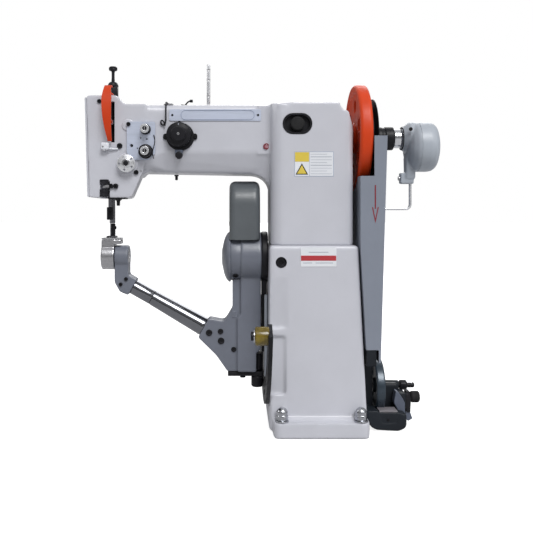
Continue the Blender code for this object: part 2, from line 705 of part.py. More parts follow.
def handwheel():
    """Orange handwheel with lightening holes."""
    x0, x1 = WHEEL_X0, WHEEL_X1
    profile = [
        (97, x1), (WHEEL_R, x1 - 3), (WHEEL_R, x0 + 4), (95, x0), (87, x0), (85, x0 + 7),
        (28, x0 + 7), (26, x0), (8.5, x0), (8.5, x1), (26, x1), (28, x1 - 7), (86, x1 - 7),
    ]
    wheel = turned("handwheel", profile, "X", (0, 0, SHAFT_Z), ORANGE, 32)
    for index in range(6):
        angle = math.radians(60 * index + 90)
        y, z = 60 * math.cos(angle), SHAFT_Z + 60 * math.sin(angle)
        cut(wheel, rod(f"wheel_hole_{index}", 12, 60, 100, "X", (0, y, z), steps=8))
    return smooth(wheel)


def belt_pulley():
    """Black V-belt pulley beside the handwheel."""
    x0, x1 = WHEEL_X1 + FIT, PULLEY_X1
    profile = [(PULLEY_R, x1), (PULLEY_R, x1 - 2), (62, x1 - 6), (62, x0 + 6), (PULLEY_R, x0 + 2),
               (PULLEY_R, x0), (8.5, x0), (8.5, x1)]
    return smooth(turned("belt_pulley", profile, "X", (0, 0, SHAFT_Z), BLACK, 30))


def shaft_coupling():
    """Stepped coupling between the pulley and the sensor."""
    profile = [(18, 163), (18, 148), (22, 147.6), (22, 109.9), (6.4, 109.9), (6.4, 163)]
    return smooth(turned("shaft_coupling", profile, "X", (0, 0, SHAFT_Z), CHROME, 20))


# ------------------------------------------------------- needle and presser

def needle_bar():
    """Needle bar with its clamp; the needle is a separate piece."""
    centre = (NEEDLE_X, NEEDLE_Y, 0)
    bar = rod("needle_bar", 3.8, 402, 550, "Z", centre, CHROME, 16)
    join(bar, add_bevel(box("needle_clamp", (-394, -382), (-9, 4.6), (379, 403)), 1, 1))
    cut(bar, rod("needle_socket", 1.5, 370, 396, "Z", centre, steps=10))
    smooth(bar)
    needle = [(0, 395), (1.2, 395), (1.2, 372), (0.9, 368), (0.9, 336), (0.35, 331), (0, 331)]
    smooth(turned("needle", needle, "Z", centre, CHROME, 10))


def presser_parts():
    """Presser bar, its foot and the spring above it."""
    centre = (PRESSER_X, PRESSER_Y, 0)
    smooth(rod("presser_bar", 4, 372, 560, "Z", centre, CHROME, 16))
    foot = box("presser_foot", (-394, -377), (-13, 16), (345.4, 348.6), CHROME)
    join(foot, box("foot_shank", (-389, -381), (5.8, 15), (347, 371.7)))
    cut(foot, box("foot_slot", (-390.5, -385.5), (-30, 3), (340, 360)))
    turns, points_per_turn, radius, low, high = 4, 8, 6.2, 563, 584
    count = turns * points_per_turn
    coil = []
    for index in range(count + 1):
        angle = math.tau * index / points_per_turn
        place = (PRESSER_X + radius * math.cos(angle), PRESSER_Y + radius * math.sin(angle))
        coil.append((*place, low + (high - low) * index / count))
    smooth(wire("presser_spring", coil, 0.8, STEEL, 0), 60)


def presser_adjuster():
    """Adjusting screw with its knurled cap."""
    profile = [(0, 672), (6.5, 672), (8, 670.5), (8, 664), (3.2, 663.5), (3.2, 590), (0, 590)]
    return smooth(turned("presser_adjuster", profile, "Z", (PRESSER_X, PRESSER_Y, 0), BLACK, 14))


def take_up_lever():
    """Flat lever whose eye works up and down in the head's slot."""
    outline = arc((TAKE_UP_Y, TAKE_UP_Z), 7, -110, 110, 8)
    outline += arc((-66, TAKE_UP_Z), 4.5, 110, 250, 6)
    lever = prism("take_up_lever", [outline], "YZ", (-374.6, -371.4), CHROME)
    cut(lever, rod("lever_eye", 1.6, -380, -365, "X", (0, -66, TAKE_UP_Z), steps=10))
    return move_origin(lever, (-373, TAKE_UP_Y, TAKE_UP_Z))


# ---------------------------------------------------------- dials and levers

def stitch_dial():
    """Stitch-length dial with its cap, and the reverse lever under it."""
    centre = (-253, 0, 533.6)
    profile = [(0, -59.3), (23, -59.3), (23, -70), (21, -72), (14, -72), (14, -79), (12, -80.5), (0, -80.5)]
    smooth(turned("stitch_dial", profile, "Y", centre, BLACK, 24))
    corners = [(-260, 491, 5), (-246, 491, 5), (-247.5, 506.4, 2), (-258.5, 506.4, 2)]
    lever = prism("reverse_lever", [rounded(corners)], "XZ", (-66, -56.2), BLACK)
    add_bevel(lever, 1.2, 1, 60)
    move_origin(lever, (-253, -60, 504))


def tension_parts():
    """Two tension nuts on the plate and the rotary thread disc."""
    upper = [(0, -64.7), (9.4, -64.7), (9.4, -78), (6.4, -79), (6.4, -82), (0, -82)]
    smooth(turned("tension_nut_upper", upper, "Y", (-313, 0, 543), CHROME, 16))
    lower = [(0, -64.7), (13, -64.7), (13, -70), (11, -71), (11, -80), (7.3, -81), (7.3, -85), (0, -85)]
    smooth(turned("tension_nut_lower", lower, "Y", (-312.6, 0, 503), CHROME, 16))
    disc = [(0, -60.4), (4.2, -60.4), (4.2, -66), (16, -67.5), (16, -69), (11, -71), (16, -73),
            (16, -74.5), (4.2, -76), (4.2, -80), (0, -80)]
    smooth(turned("tension_disc", disc, "Y", (-347, 0, 481), CHROME, 16))


# -------------------------------------------------------------- bobbin winder

def bobbin_winder():
    """Winder that stands beside the base with its friction wheel."""
    base = prism("winder_base", [rectangle((86, 159), (-75, 30), 10)], "XY", (0, 9), WINDER_GREEN)
    add_bevel(base, 2, 2, 60)
    join(base, box("winder_box", (106, 146), (-73, -52), (4, 32)))
    wall = rounded([(137, 4, 0), (158, 4, 3), (158, 34, 6), (146, 80, 5), (132, 80, 5), (132, 60, 0)])
    join(base, prism("winder_wall", [wall], "XZ", (-34, 14)))
    join(base, rod("winder_barrel", 12.5, 126, 154, "X", (0, WINDER_Y, WINDER_Z), steps=16))
    cut(base, rod("winder_bore", 5.5, 110, 170, "X", (0, WINDER_Y, WINDER_Z), steps=12))
    smooth(base)
    centre = (0, WINDER_Y, WINDER_Z)
    wheel = [(49, 123), (51, 121), (51, 108), (49, 106), (42, 106), (40, 111), (12, 111),
             (12, 107), (5.4, 107), (5.4, 122), (14, 122), (40, 118), (43, 123)]
    smooth(turned("winder_wheel", wheel, "X", centre, WINDER_GREEN, 26))
    spindle = [(0, 186), (3.4, 186), (5, 184.5), (5, 169), (9.5, 168.5), (9.5, 155), (5, 154.4),
               (5, 106), (0, 106)]
    smooth(turned("winder_spindle", spindle, "X", centre, BLACK, 12))
    latch = box("winder_latch", (160, 167), (-46, -30), (12, 58), BLACK, (163, -38, 48))
    add_bevel(latch, 1.5, 2)
    thumb = [(0, 188), (8.5, 188), (10.5, 186), (10.5, 172), (5, 170), (5, 164), (0, 164)]
    join(latch, turned("latch_thumb", thumb, "X", (0, -38, 48), steps=14))


def build():
    """Make every piece."""
    base_casting()
    upper_casting()
    face_cover()
    arm_rear_cover()
    foot_nuts()
    sector_plate()
    end_stops()
    belt_cover()
    oil_window()
    name_plate()
    thread_post()
    tension_plate()
    take_up_guard()
    thread_block()
    presser_tower()
    synchroniser()
    dial_plate()
    swing_trunnion()
    side_plate()
    swing_arm()
    bearing_cap()
    dome_cover()
    horn_tubes()
    horn_knuckle()
    swing_lock()
    hook_head()
    throat_plate()
    rotary_hook()
    bobbin_parts()
    horn_shaft()
    main_shaft()
    lower_shaft()
    timing_belt()
    handwheel()
    belt_pulley()
    shaft_coupling()
    needle_bar()
    presser_parts()
    presser_adjuster()
    take_up_lever()
    stitch_dial()
    tension_parts()
    bobbin_winder()


build()
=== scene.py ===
"""Looks of the side-wall sole stitching machine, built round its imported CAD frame.

Sizes are in millimetres and the helpers turn them into metres. Most places come
from the box of a CAD node, read with span(), or are offsets from one. The rest are
world coordinates, in the CAD's own frame.
"""

import json
import math
from types import SimpleNamespace

import bmesh
import bpy
from mathutils import Matrix, Vector


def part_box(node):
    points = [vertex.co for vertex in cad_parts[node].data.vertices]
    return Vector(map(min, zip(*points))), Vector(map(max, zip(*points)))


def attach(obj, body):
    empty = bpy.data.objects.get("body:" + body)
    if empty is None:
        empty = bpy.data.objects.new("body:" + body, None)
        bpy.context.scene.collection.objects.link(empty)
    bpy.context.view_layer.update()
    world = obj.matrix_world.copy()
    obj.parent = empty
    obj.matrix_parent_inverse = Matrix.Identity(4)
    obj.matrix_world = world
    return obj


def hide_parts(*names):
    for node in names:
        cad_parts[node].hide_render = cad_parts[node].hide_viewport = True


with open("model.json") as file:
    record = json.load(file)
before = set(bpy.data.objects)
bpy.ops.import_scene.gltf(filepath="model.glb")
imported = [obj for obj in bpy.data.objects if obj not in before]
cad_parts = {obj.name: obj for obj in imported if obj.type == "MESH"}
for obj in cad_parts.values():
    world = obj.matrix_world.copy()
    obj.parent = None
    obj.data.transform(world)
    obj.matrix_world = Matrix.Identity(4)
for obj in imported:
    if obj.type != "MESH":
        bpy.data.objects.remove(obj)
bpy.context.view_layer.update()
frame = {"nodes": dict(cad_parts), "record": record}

MM = 0.001
SHARP_ANGLE = math.radians(38)
BODY_OF = {node: body for body, nodes in frame["record"]["behaviour"]["bodies"].items() for node in nodes}


def span(node):
    """A CAD node's box in millimetres: both ends of each side, and the middle as x, y, z."""
    low, high = (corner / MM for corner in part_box(node))
    middle = (low + high) / 2
    return SimpleNamespace(x0=low.x, x1=high.x, y0=low.y, y1=high.y, z0=low.z, z1=high.z, x=middle.x,
                           y=middle.y, z=middle.z)


# ------------------------------------------------------------------ materials

def link(tree, source, socket, target, name):
    """Join a node's output to another node's input."""
    tree.links.new(source.outputs[socket], target.inputs[name])


def new_node(tree, kind, **values):
    """A shader node with its input sockets set by name."""
    node = tree.nodes.new(kind)
    for name, value in values.items():
        node.inputs[name.replace("_", " ")].default_value = value
    return node


def ramp(tree, source, socket, low, high, to_low, to_high):
    """Map part of a value's range onto another range."""
    node = tree.nodes.new("ShaderNodeMapRange")
    for name, value in zip(("From Min", "From Max", "To Min", "To Max"), (low, high, to_low, to_high)):
        node.inputs[name].default_value = value
    link(tree, source, socket, node, "Value")
    return node


def mix(tree, factor, colour_a, colour_b):
    """Mix a colour, or a Mix node's result, with a fixed colour."""
    node = tree.nodes.new("ShaderNodeMix")
    node.data_type = "RGBA"
    link(tree, factor, 0, node, "Factor")
    if isinstance(colour_a, bpy.types.Node):
        tree.links.new(colour_a.outputs[2], node.inputs[6])
    else:
        node.inputs[6].default_value = (*colour_a, 1)
    node.inputs[7].default_value = (*colour_b, 1)
    return node


MATERIALS = {}


def surface(name, colour, roughness, metallic=0.0, spread=0.05, bump=0.12, grain=700, blotch=14,
            stretch=(1, 1, 1), wear=None, hollow_shade=0.0, **sockets):
    """Add a finish with blotches, fine grain, worn edges and painted shade that darkens its hollows."""
    material = MATERIALS[name] = bpy.data.materials.new(name)
    material.use_nodes = True
    tree = material.node_tree
    shader = tree.nodes["Principled BSDF"]
    shader.inputs["Metallic"].default_value = metallic
    for socket, value in sockets.items():
        shader.inputs[socket.replace("_", " ")].default_value = value
    place = tree.nodes.new("ShaderNodeTexCoord")
    mapping = new_node(tree, "ShaderNodeMapping", Scale=stretch)
    link(tree, place, "Object", mapping, "Vector")
    blotches = new_node(tree, "ShaderNodeTexNoise", Scale=blotch, Detail=6.0, Roughness=0.6)
    link(tree, mapping, "Vector", blotches, "Vector")
    fine = new_node(tree, "ShaderNodeTexNoise", Scale=grain, Detail=3.0, Roughness=0.55)
    link(tree, mapping, "Vector", fine, "Vector")
    light = tuple(min(1, part * (1 + spread)) for part in colour)
    dark = tuple(part * (1 - spread) for part in colour)
    paint = mix(tree, ramp(tree, blotches, 0, 0.35, 0.65, 0, 1), dark, light)
    paint = mix(tree, ramp(tree, fine, 0, 0.58, 0.80, 0, 0.35), paint, dark)
    edges = tree.nodes.new("ShaderNodeNewGeometry")
    # Painted shade: hollows found by pointiness are darkened towards a third of the colour.
    if hollow_shade:
        hollow = ramp(tree, edges, "Pointiness", 0.49, 0.44, 0, hollow_shade)
        paint = mix(tree, hollow, paint, tuple(part * 0.35 for part in colour))
    if wear:
        patchy = new_node(tree, "ShaderNodeTexNoise", Scale=70.0, Detail=5.0, Roughness=0.7)
        link(tree, place, "Object", patchy, "Vector")
        worn = tree.nodes.new("ShaderNodeMath")
        worn.operation = "MULTIPLY"
        link(tree, ramp(tree, edges, "Pointiness", 0.53, 0.60, 0, 1), 0, worn, 0)
        link(tree, ramp(tree, patchy, 0, 0.50, 0.62, 0, 0.8), 0, worn, 1)
        paint = mix(tree, worn, paint, wear)
    tree.links.new(paint.outputs[2], shader.inputs["Base Color"])
    smudge = new_node(tree, "ShaderNodeTexNoise", Scale=blotch * 3.7, Detail=4.0, Roughness=0.65)
    link(tree, mapping, "Vector", smudge, "Vector")
    gloss = ramp(tree, smudge, 0, 0.3, 0.7, roughness * 0.82, min(1, roughness * 1.2))
    link(tree, gloss, 0, shader, "Roughness")
    relief = new_node(tree, "ShaderNodeBump", Strength=bump, Distance=0.0004)
    link(tree, fine, 0, relief, "Height")
    link(tree, relief, "Normal", shader, "Normal")
    return material


surface("white_paint", (0.545, 0.552, 0.605), 0.38, spread=0.022, bump=0.10, wear=(0.42, 0.41, 0.42),
        hollow_shade=0.35, Coat_Weight=0.25, Coat_Roughness=0.22)
surface("cover_white", (0.545, 0.552, 0.605), 0.40, spread=0.022, bump=0.10, Coat_Weight=0.25,
        Coat_Roughness=0.22)
surface("grey_paint", (0.145, 0.158, 0.195), 0.38, spread=0.07, bump=0.22, grain=520,
        wear=(0.30, 0.31, 0.34), hollow_shade=0.5, Coat_Weight=0.2, Coat_Roughness=0.3)
surface("dome_grey_paint", (0.098, 0.110, 0.120), 0.36, spread=0.06, bump=0.15, wear=(0.30, 0.32, 0.33),
        Coat_Weight=0.2, Coat_Roughness=0.25)
surface("cover_grey_paint", (0.215, 0.238, 0.290), 0.42, spread=0.03, bump=0.10)
surface("light_grey_paint", (0.380, 0.415, 0.465), 0.38, spread=0.05, bump=0.14, wear=(0.42, 0.44, 0.46),
        hollow_shade=0.4)
surface("chrome", (0.74, 0.75, 0.78), 0.13, 1.0, spread=0.05, bump=0.03, grain=1400)
surface("nut_chrome", (0.46, 0.47, 0.50), 0.22, 1.0, spread=0.08, bump=0.05, grain=1200)
surface("horn_chrome", (0.22, 0.225, 0.245), 0.10, 1.0, spread=0.05, bump=0.03, grain=1400)
surface("steel", (0.50, 0.50, 0.52), 0.30, 1.0, spread=0.10, bump=0.10, grain=900, stretch=(1, 1, 6))
surface("black_oxide", (0.011, 0.011, 0.014), 0.42, spread=0.25, bump=0.15, grain=900,
        wear=(0.05, 0.05, 0.06), Specular_IOR_Level=0.22)
surface("orange_paint", (0.60, 0.050, 0.008), 0.42, spread=0.06, bump=0.08, wear=(0.70, 0.12, 0.04),
        hollow_shade=0.35, Specular_IOR_Level=0.22)
surface("amber_urethane", (0.185, 0.130, 0.010), 0.22, spread=0.45, bump=0.05, blotch=45,
        Transmission_Weight=0.15, IOR=1.5, Coat_Weight=0.2)
surface("bright_plate", (0.58, 0.63, 0.76), 0.33, 0.25, spread=0.05, bump=0.10, grain=900,
        stretch=(1, 1, 12))
surface("black_rubber", (0.014, 0.014, 0.015), 0.72, spread=0.25, bump=0.35, grain=600,
        Specular_IOR_Level=0.25)
surface("winder_paint", (0.022, 0.030, 0.037), 0.42, spread=0.15, bump=0.20, grain=600,
        wear=(0.12, 0.13, 0.14), hollow_shade=0.4, Specular_IOR_Level=0.15)
surface("satin_chrome", (0.80, 0.81, 0.84), 0.26, 0.75, spread=0.04, bump=0.05, grain=1200)
surface("dark_steel", (0.16, 0.16, 0.175), 0.28, 0.8, spread=0.15, bump=0.08, grain=1000, stretch=(1, 1, 8))
surface("winder_black", (0.014, 0.017, 0.022), 0.40, spread=0.2, bump=0.20, grain=600,
        wear=(0.07, 0.08, 0.09), Specular_IOR_Level=0.2)
surface("winder_gloss", (0.030, 0.045, 0.062), 0.30, 0.4, spread=0.15, bump=0.10, grain=600,
        Coat_Weight=0.4, Coat_Roughness=0.2)
surface("bracket_paint", (0.090, 0.105, 0.145), 0.45, spread=0.12, bump=0.20, wear=(0.30, 0.31, 0.34),
        hollow_shade=0.3)
surface("step_paint", (0.17, 0.16, 0.175), 0.5, spread=0.08, bump=0.15, hollow_shade=0.3)
# Near-black finish for sheets that stand for the shade inside deep slots: painted shade.
surface("painted_slot_shade", (0.010, 0.010, 0.012), 0.8, spread=0.3, bump=0.1)
surface("label_white", (0.74, 0.76, 0.80), 0.40, spread=0.02, bump=0.04, grain=300)
surface("label_blue", (0.30, 0.35, 0.47), 0.45, spread=0.06, bump=0.04, grain=300)
surface("label_line", (0.36, 0.38, 0.45), 0.45, spread=0.10, bump=0.04, grain=300)
surface("label_yellow", (0.68, 0.52, 0.07), 0.42, spread=0.06, bump=0.04, grain=300)
surface("label_red", (0.44, 0.035, 0.045), 0.42, spread=0.06, bump=0.04, grain=300)
surface("arrow_red", (0.22, 0.018, 0.030), 0.45, spread=0.10, bump=0.05, grain=300)
surface("thread_plastic", (0.72, 0.74, 0.79), 0.32, spread=0.03, bump=0.06, Subsurface_Weight=0.15,
        Subsurface_Radius=(0.002, 0.002, 0.002))
surface("sight_red", (0.45, 0.20, 0.24), 0.12, spread=0.3, bump=0.02, Coat_Weight=1.0)


# -------------------------------------------------------------------- shapes

def new_object(name, mesh):
    """An object for the mesh, shaded smooth but for its sharp edges."""
    mesh.materials.clear()
    mesh.shade_smooth()
    mesh.set_sharp_from_angle(angle=SHARP_ANGLE)
    obj = bpy.data.objects.new(name, mesh)
    bpy.context.scene.collection.objects.link(obj)
    return obj


def to_mesh(name, builder):
    """A mesh from a bmesh, with its faces pointing out."""
    bmesh.ops.recalc_face_normals(builder, faces=builder.faces)
    mesh = bpy.data.meshes.new(name)
    builder.to_mesh(mesh)
    builder.free()
    return mesh


def ease_edges(obj, width, segments=3, limit=30):
    """Round an object's sharp edges and keep its flat faces flat."""
    bevel = obj.modifiers.new("ease", "BEVEL")
    bevel.width = width * MM
    bevel.segments = segments
    bevel.limit_method = "ANGLE"
    bevel.angle_limit = math.radians(limit)
    bevel.use_clamp_overlap = True
    weighted = obj.modifiers.new("weighted", "WEIGHTED_NORMAL")
    weighted.keep_sharp = False
    return obj


AXES = {"X": Matrix.Rotation(math.radians(90), 4, "Y"), "Y": Matrix.Rotation(math.radians(-90), 4, "X"),
        "Z": Matrix.Identity(4)}


def block(name, x, y, z, edge=1.0, top=None):
    """A block between the pairs x, y and z; top is the upper rectangle where it differs."""
    top_x, top_y = top or (x, y)
    builder = bmesh.new()
    bmesh.ops.create_cube(builder, size=2)
    for vert in builder.verts:
        side_x, side_y = (top_x, top_y) if vert.co.z > 0 else (x, y)
        corner = (side_x[vert.co.x > 0], side_y[vert.co.y > 0], z[vert.co.z > 0])
        vert.co = Vector(corner) * MM
    obj = new_object(name, to_mesh(name, builder))
    return ease_edges(obj, edge) if edge else obj


def hull(name, points):
    """The convex body round some points."""
    builder = bmesh.new()
    for point in points:
        builder.verts.new(Vector(point) * MM)
    made = bmesh.ops.convex_hull(builder, input=builder.verts)
    loose = [item for item in made["geom_interior"] if isinstance(item, bmesh.types.BMVert)]
    bmesh.ops.delete(builder, geom=loose, context="VERTS")
    return new_object(name, to_mesh(name, builder))


def eased(profile, radius, steps=3):
    """A profile with its corners rounded."""
    closed = profile[0][0] > 0
    corners = list(profile)
    if closed:
        triples = zip([corners[-1]] + corners[:-1], corners, corners[1:] + corners[:1])
        points = []
    else:
        triples = zip(corners, corners[1:], corners[2:])
        points = [corners[0]]
    for before, corner, after in triples:
        start, middle, end = Vector(before), Vector(corner), Vector(after)
        reach = min(radius, (start - middle).length * 0.45, (end - middle).length * 0.45)
        start = middle + (start - middle).normalized() * reach
        end = middle + (end - middle).normalized() * reach
        for index in range(steps + 1):
            t = index / steps
            points.append(tuple((1 - t) ** 2 * start + 2 * t * (1 - t) * middle + t * t * end))
    return points if closed else points + [corners[-1]]


def turned(name, profile, axis, centre, steps=72, ease=0.6, knurl=None):
    """A turned solid from (radius, height) pairs, top end first and down the outside.

    knurl is (low, high, depth): between those heights every second step is cut in.
    """
    points = eased(profile, ease) if ease else list(profile)
    builder = bmesh.new()
    rings = []
    for radius, height in points:
        ring = []
        for index in range(steps):
            cut = knurl[2] if knurl and index % 2 and knurl[0] <= height <= knurl[1] else 0
            angle = math.tau * index / steps
            reach = max(radius - cut, 0) * MM
            ring.append(builder.verts.new((reach * math.cos(angle), reach * math.sin(angle), height * MM)))
        rings.append(ring)
    pairs = list(zip(rings, rings[1:]))
    if points[0][0] > 0:
        pairs.append((rings[-1], rings[0]))
    for upper, lower in pairs:
        for index in range(steps):
            after = (index + 1) % steps
            builder.faces.new((upper[index], lower[index], lower[after], upper[after]))
    bmesh.ops.remove_doubles(builder, verts=builder.verts, dist=0.000002)
    rotation = AXES[axis] if isinstance(axis, str) else axis
    builder.transform(Matrix.Translation(Vector(centre) * MM) @ rotation)
    return new_object(name, to_mesh(name, builder))


def rod(name, radius, low, high, axis, centre, steps=48, ease=0.4):
    """A plain round bar with eased ends."""
    return turned(name, [(0, high), (radius, high), (radius, low), (0, low)], axis, centre, steps, ease)


def arc(centre, radius, start, end, steps=8):
    """Points on an arc, angles in degrees."""
    angles = (math.radians(start + (end - start) * index / steps) for index in range(steps + 1))
    return [(centre[0] + radius * math.cos(angle),
             centre[1] + radius * math.sin(angle)) for angle in angles]


def rounded(corners, steps=8):
    """Corner points (a, b, radius) as an outline with an arc at each corner."""
    outline = []
    count = len(corners)
    for index, (a, b, radius) in enumerate(corners):
        corner = Vector((a, b))
        if radius == 0:
            outline.append((a, b))
            continue
        before = (Vector(corners[index - 1][:2]) - corner).normalized()
        after = (Vector(corners[(index + 1) % count][:2]) - corner).normalized()
        half = before.angle(after) / 2
        reach = radius / math.tan(half)
        centre = corner + (before + after).normalized() * radius / math.sin(half)
        spokes = [corner + before * reach - centre, corner + after * reach - centre]
        start, end = (math.degrees(math.atan2(spoke.y, spoke.x)) for spoke in spokes)
        end = start + (end - start + 180) % 360 - 180
        outline += arc(centre, radius, start, end, steps)
    return outline


def rectangle(a, b, radius=0.0):
    """A rectangle between the pairs a and b with rounded corners."""
    corners = [(a[0], b[0]), (a[1], b[0]), (a[1], b[1]), (a[0], b[1])]
    return rounded([(*corner, radius) for corner in corners])


PLANES = {"XZ": (Matrix.Rotation(math.radians(90), 4, "X"), Vector((0, 1, 0))),
          "YZ": (Matrix.Rotation(math.radians(90), 4, "Z") @ Matrix.Rotation(math.radians(90), 4, "X"),
                 Vector((1, 0, 0))), "XY": (Matrix.Identity(4), Vector((0, 0, 1)))}


def curve_mesh(name, curve, matrix):
    """A curve's surface as a closed mesh."""
    guide = bpy.data.objects.new(name, curve)
    bpy.context.scene.collection.objects.link(guide)
    bpy.context.view_layer.update()
    graph = bpy.context.evaluated_depsgraph_get()
    mesh = bpy.data.meshes.new_from_object(guide.evaluated_get(graph))
    bpy.data.objects.remove(guide)
    builder = bmesh.new()
    builder.from_mesh(mesh)
    bmesh.ops.remove_doubles(builder, verts=builder.verts, dist=0.000005)
    builder.transform(matrix)
    return to_mesh(name, builder)


def prism(name, outlines, plane, depth, edge=0.6):
    """A flat outline, and any holes in it, with a thickness between two depths."""
    curve = bpy.data.curves.new(name, "CURVE")
    curve.dimensions = "2D"
    curve.fill_mode = "BOTH"
    curve.extrude = abs(depth[1] - depth[0]) / 2 * MM
    for outline in outlines:
        spline = curve.splines.new("POLY")
        spline.points.add(len(outline) - 1)
        spline.use_cyclic_u = True
        for point, (a, b) in zip(spline.points, outline):
            point.co = (a * MM, b * MM, 0, 1)
    rotation, normal = PLANES[plane]
    matrix = Matrix.Translation(normal * (depth[0] + depth[1]) / 2 * MM) @ rotation
    obj = new_object(name, curve_mesh(name, curve, matrix))
    return ease_edges(obj, edge, limit=50) if edge else obj


def wire(name, points, radius, smooth_path=False, resolution=6):
    """A round wire through the points, bent sharply or as one smooth curve."""
    curve = bpy.data.curves.new(name, "CURVE")
    curve.dimensions = "3D"
    curve.bevel_depth = radius * MM
    curve.bevel_resolution = resolution
    curve.use_fill_caps = True
    spline = curve.splines.new("NURBS" if smooth_path else "POLY")
    spline.points.add(len(points) - 1)
    for point, place in zip(spline.points, points):
        point.co = (*(Vector(place) * MM), 1)
    if smooth_path:
        spline.order_u = 4
        spline.use_endpoint_u = True
        spline.resolution_u = 8
    return new_object(name, curve_mesh(name, curve, Matrix.Identity(4)))


def baked(obj):
    """Apply an object's modifiers."""
    graph = bpy.context.evaluated_depsgraph_get()
    mesh = bpy.data.meshes.new_from_object(obj.evaluated_get(graph))
    obj.modifiers.clear()
    obj.data = mesh
    return obj


def carve(obj, *cutters):
    """Cut every cutter out of an object in one go."""
    group = bpy.data.collections.new("cutters")
    bpy.context.scene.collection.children.link(group)
    for cutter in cutters:
        group.objects.link(cutter)
    boolean = obj.modifiers.new("carve", "BOOLEAN")
    boolean.operation = "DIFFERENCE"
    boolean.operand_type = "COLLECTION"
    boolean.collection = group
    boolean.solver = "EXACT"
    baked(obj)
    for cutter in cutters:
        bpy.data.objects.remove(cutter)
    bpy.data.collections.remove(group)
    obj.data.materials.clear()
    obj.data.shade_smooth()
    obj.data.set_sharp_from_angle(angle=SHARP_ANGLE)
    return obj


def cast(name, solids, voxel, rounds):
    """Melt solids into one casting with soft edges and fillets."""
    builder = bmesh.new()
    graph = bpy.context.evaluated_depsgraph_get()
    for solid in solids:
        builder.from_mesh(bpy.data.meshes.new_from_object(solid.evaluated_get(graph)))
        bpy.data.objects.remove(solid)
    obj = new_object(name, to_mesh(name, builder))
    remesh = obj.modifiers.new("melt", "REMESH")
    remesh.mode = "VOXEL"
    remesh.voxel_size = voxel * MM
    remesh.use_smooth_shade = True
    smooth = obj.modifiers.new("soften", "SMOOTH")
    smooth.factor = 0.5
    smooth.iterations = rounds
    baked(obj)
    obj.data.shade_smooth()
    return obj


def show(obj, slot, *nodes, body=None, finish=None):
    """Finish a piece, let it ride on its body and hide the CAD nodes that it stands for.

    Without a body it rides with those nodes, or on the stand if there are none.
    """
    obj.data.materials.clear()
    obj.data.materials.append(MATERIALS[finish or slot])
    if not nodes:
        body = body or "stand"
    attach(obj, body or BODY_OF[nodes[0]])
    if nodes:
        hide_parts(*nodes)
    return obj


# ----------------------------------------------------------------- fasteners

def facing(direction):
    """Rotation that turns local Z along a direction."""
    return Vector(direction).to_track_quat("Z", "Y").to_matrix().to_4x4()


FRONT, BACK, LEFT, RIGHT, UP, DOWN = (0, -1, 0), (0, 1, 0), (-1, 0, 0), (1, 0, 0), (0, 0, 1), (0, 0, -1)


def socket_screw(name, place, direction, radius, height, body="stand", slot="black_oxide"):
    """A cap screw with a hexagon socket, its head standing on the place."""
    head = turned(name, [(0, height), (radius, height), (radius, 0), (0, 0)], "Z", (0, 0, 0), 48,
                  radius * 0.12)
    hexagon = [(radius * 0.52 * math.cos(math.radians(60 * k)),
                radius * 0.52 * math.sin(math.radians(60 * k))) for k in range(6)]
    carve(head, prism("socket", [hexagon], "XY", (height * 0.35, height + 1), 0))
    head.matrix_world = Matrix.Translation(Vector(place) * MM) @ facing(direction)
    return show(head, slot, body=body)


def slotted_screw(name, place, direction, radius, height, slot="chrome", turn=35, body="stand"):
    """A cheese-head screw with a slot."""
    profile = [(0, height), (radius * 0.8, height), (radius, height * 0.6), (radius, 0), (0, 0)]
    head = turned(name, profile, "Z", (0, 0, 0), 40, radius * 0.1)
    blade = block("blade", (-radius * 1.2, radius * 1.2), (-radius * 0.13, radius * 0.13),
                  (height * 0.45, height + 1), 0)
    blade.data.transform(Matrix.Rotation(math.radians(turn), 4, "Z"))
    carve(head, blade)
    head.matrix_world = Matrix.Translation(Vector(place) * MM) @ facing(direction)
    return show(head, slot, body=body)


def hexagon_nut(name, across, low, high, axis, centre):
    """A hexagon with its corners turned off."""
    nut = turned(name, [(0, high), (across * 0.94, high), (across * 1.08, high - across * 0.22),
                        (across * 1.08, low + across * 0.22), (across * 0.94, low), (0, low)], axis, centre,
                 48, 0.2)
    flats = []
    for k in range(6):
        angle = math.radians(60 * k + 30)
        flat = block("flat", (across, across * 3), (-across * 2, across * 2), (low - 5, high + 5), 0)
        flat.data.transform(Matrix.Rotation(angle, 4, "Z"))
        flat.data.transform(Matrix.Translation(Vector(centre) * MM) @ AXES[axis])
        flats.append(flat)
    return carve(nut, *flats)


# ------------------------------------------------------------------ castings

ARM = SimpleNamespace(top=590, bottom=462, slope=503, half=55, keel=38)
COLUMN = SimpleNamespace(left=-87, right=61, half=80)
HEAD = SimpleNamespace(left=-421.2, top=606, bottom=420, half=60, lower_right=-339, right=-317)
SHAFT = span("main_shaft")
NEEDLE = span("needle")
PRESSER = span("presser_bar")
SWING_Z = span("bearing_cap").z
SHAFT_AXIS = (0, 0, SHAFT.z)
SWING_AXIS = (0, 0, SWING_Z)


def column_body():
    """Upper column with its stepped corner at the wheel and a chamfer on each side of the arm."""
    low = span("upper_casting").z0
    left, right, half = COLUMN.left, COLUMN.right, COLUMN.half
    outline = rounded([(left, -half, 23), (right, -half, 12), (right, half, 12), (left, half, 23)])
    column = prism("column", [outline], "XY", (low, ARM.top), 0)
    corner = rounded([(right + 9, 536, 0), (right, 545, 26), (52, 575, 8), (41, 578, 8), (34, 592, 6),
                      (right + 9, 604, 0)])
    chamfer = [(-96, 62, 592), (-44, 80.2, 592), (-84, 80.6, 556), (-96, 110, 560), (-44, 110, 592),
               (-96, 110, 620), (-44, 82, 620), (-96, 64, 620)]
    wedges = [hull("wedge", [(x, y * side, z) for x, y, z in chamfer]) for side in (-1, 1)]
    return carve(column, prism("corner", [corner], "XZ", (-half - 9, half + 9), 0), *wedges)


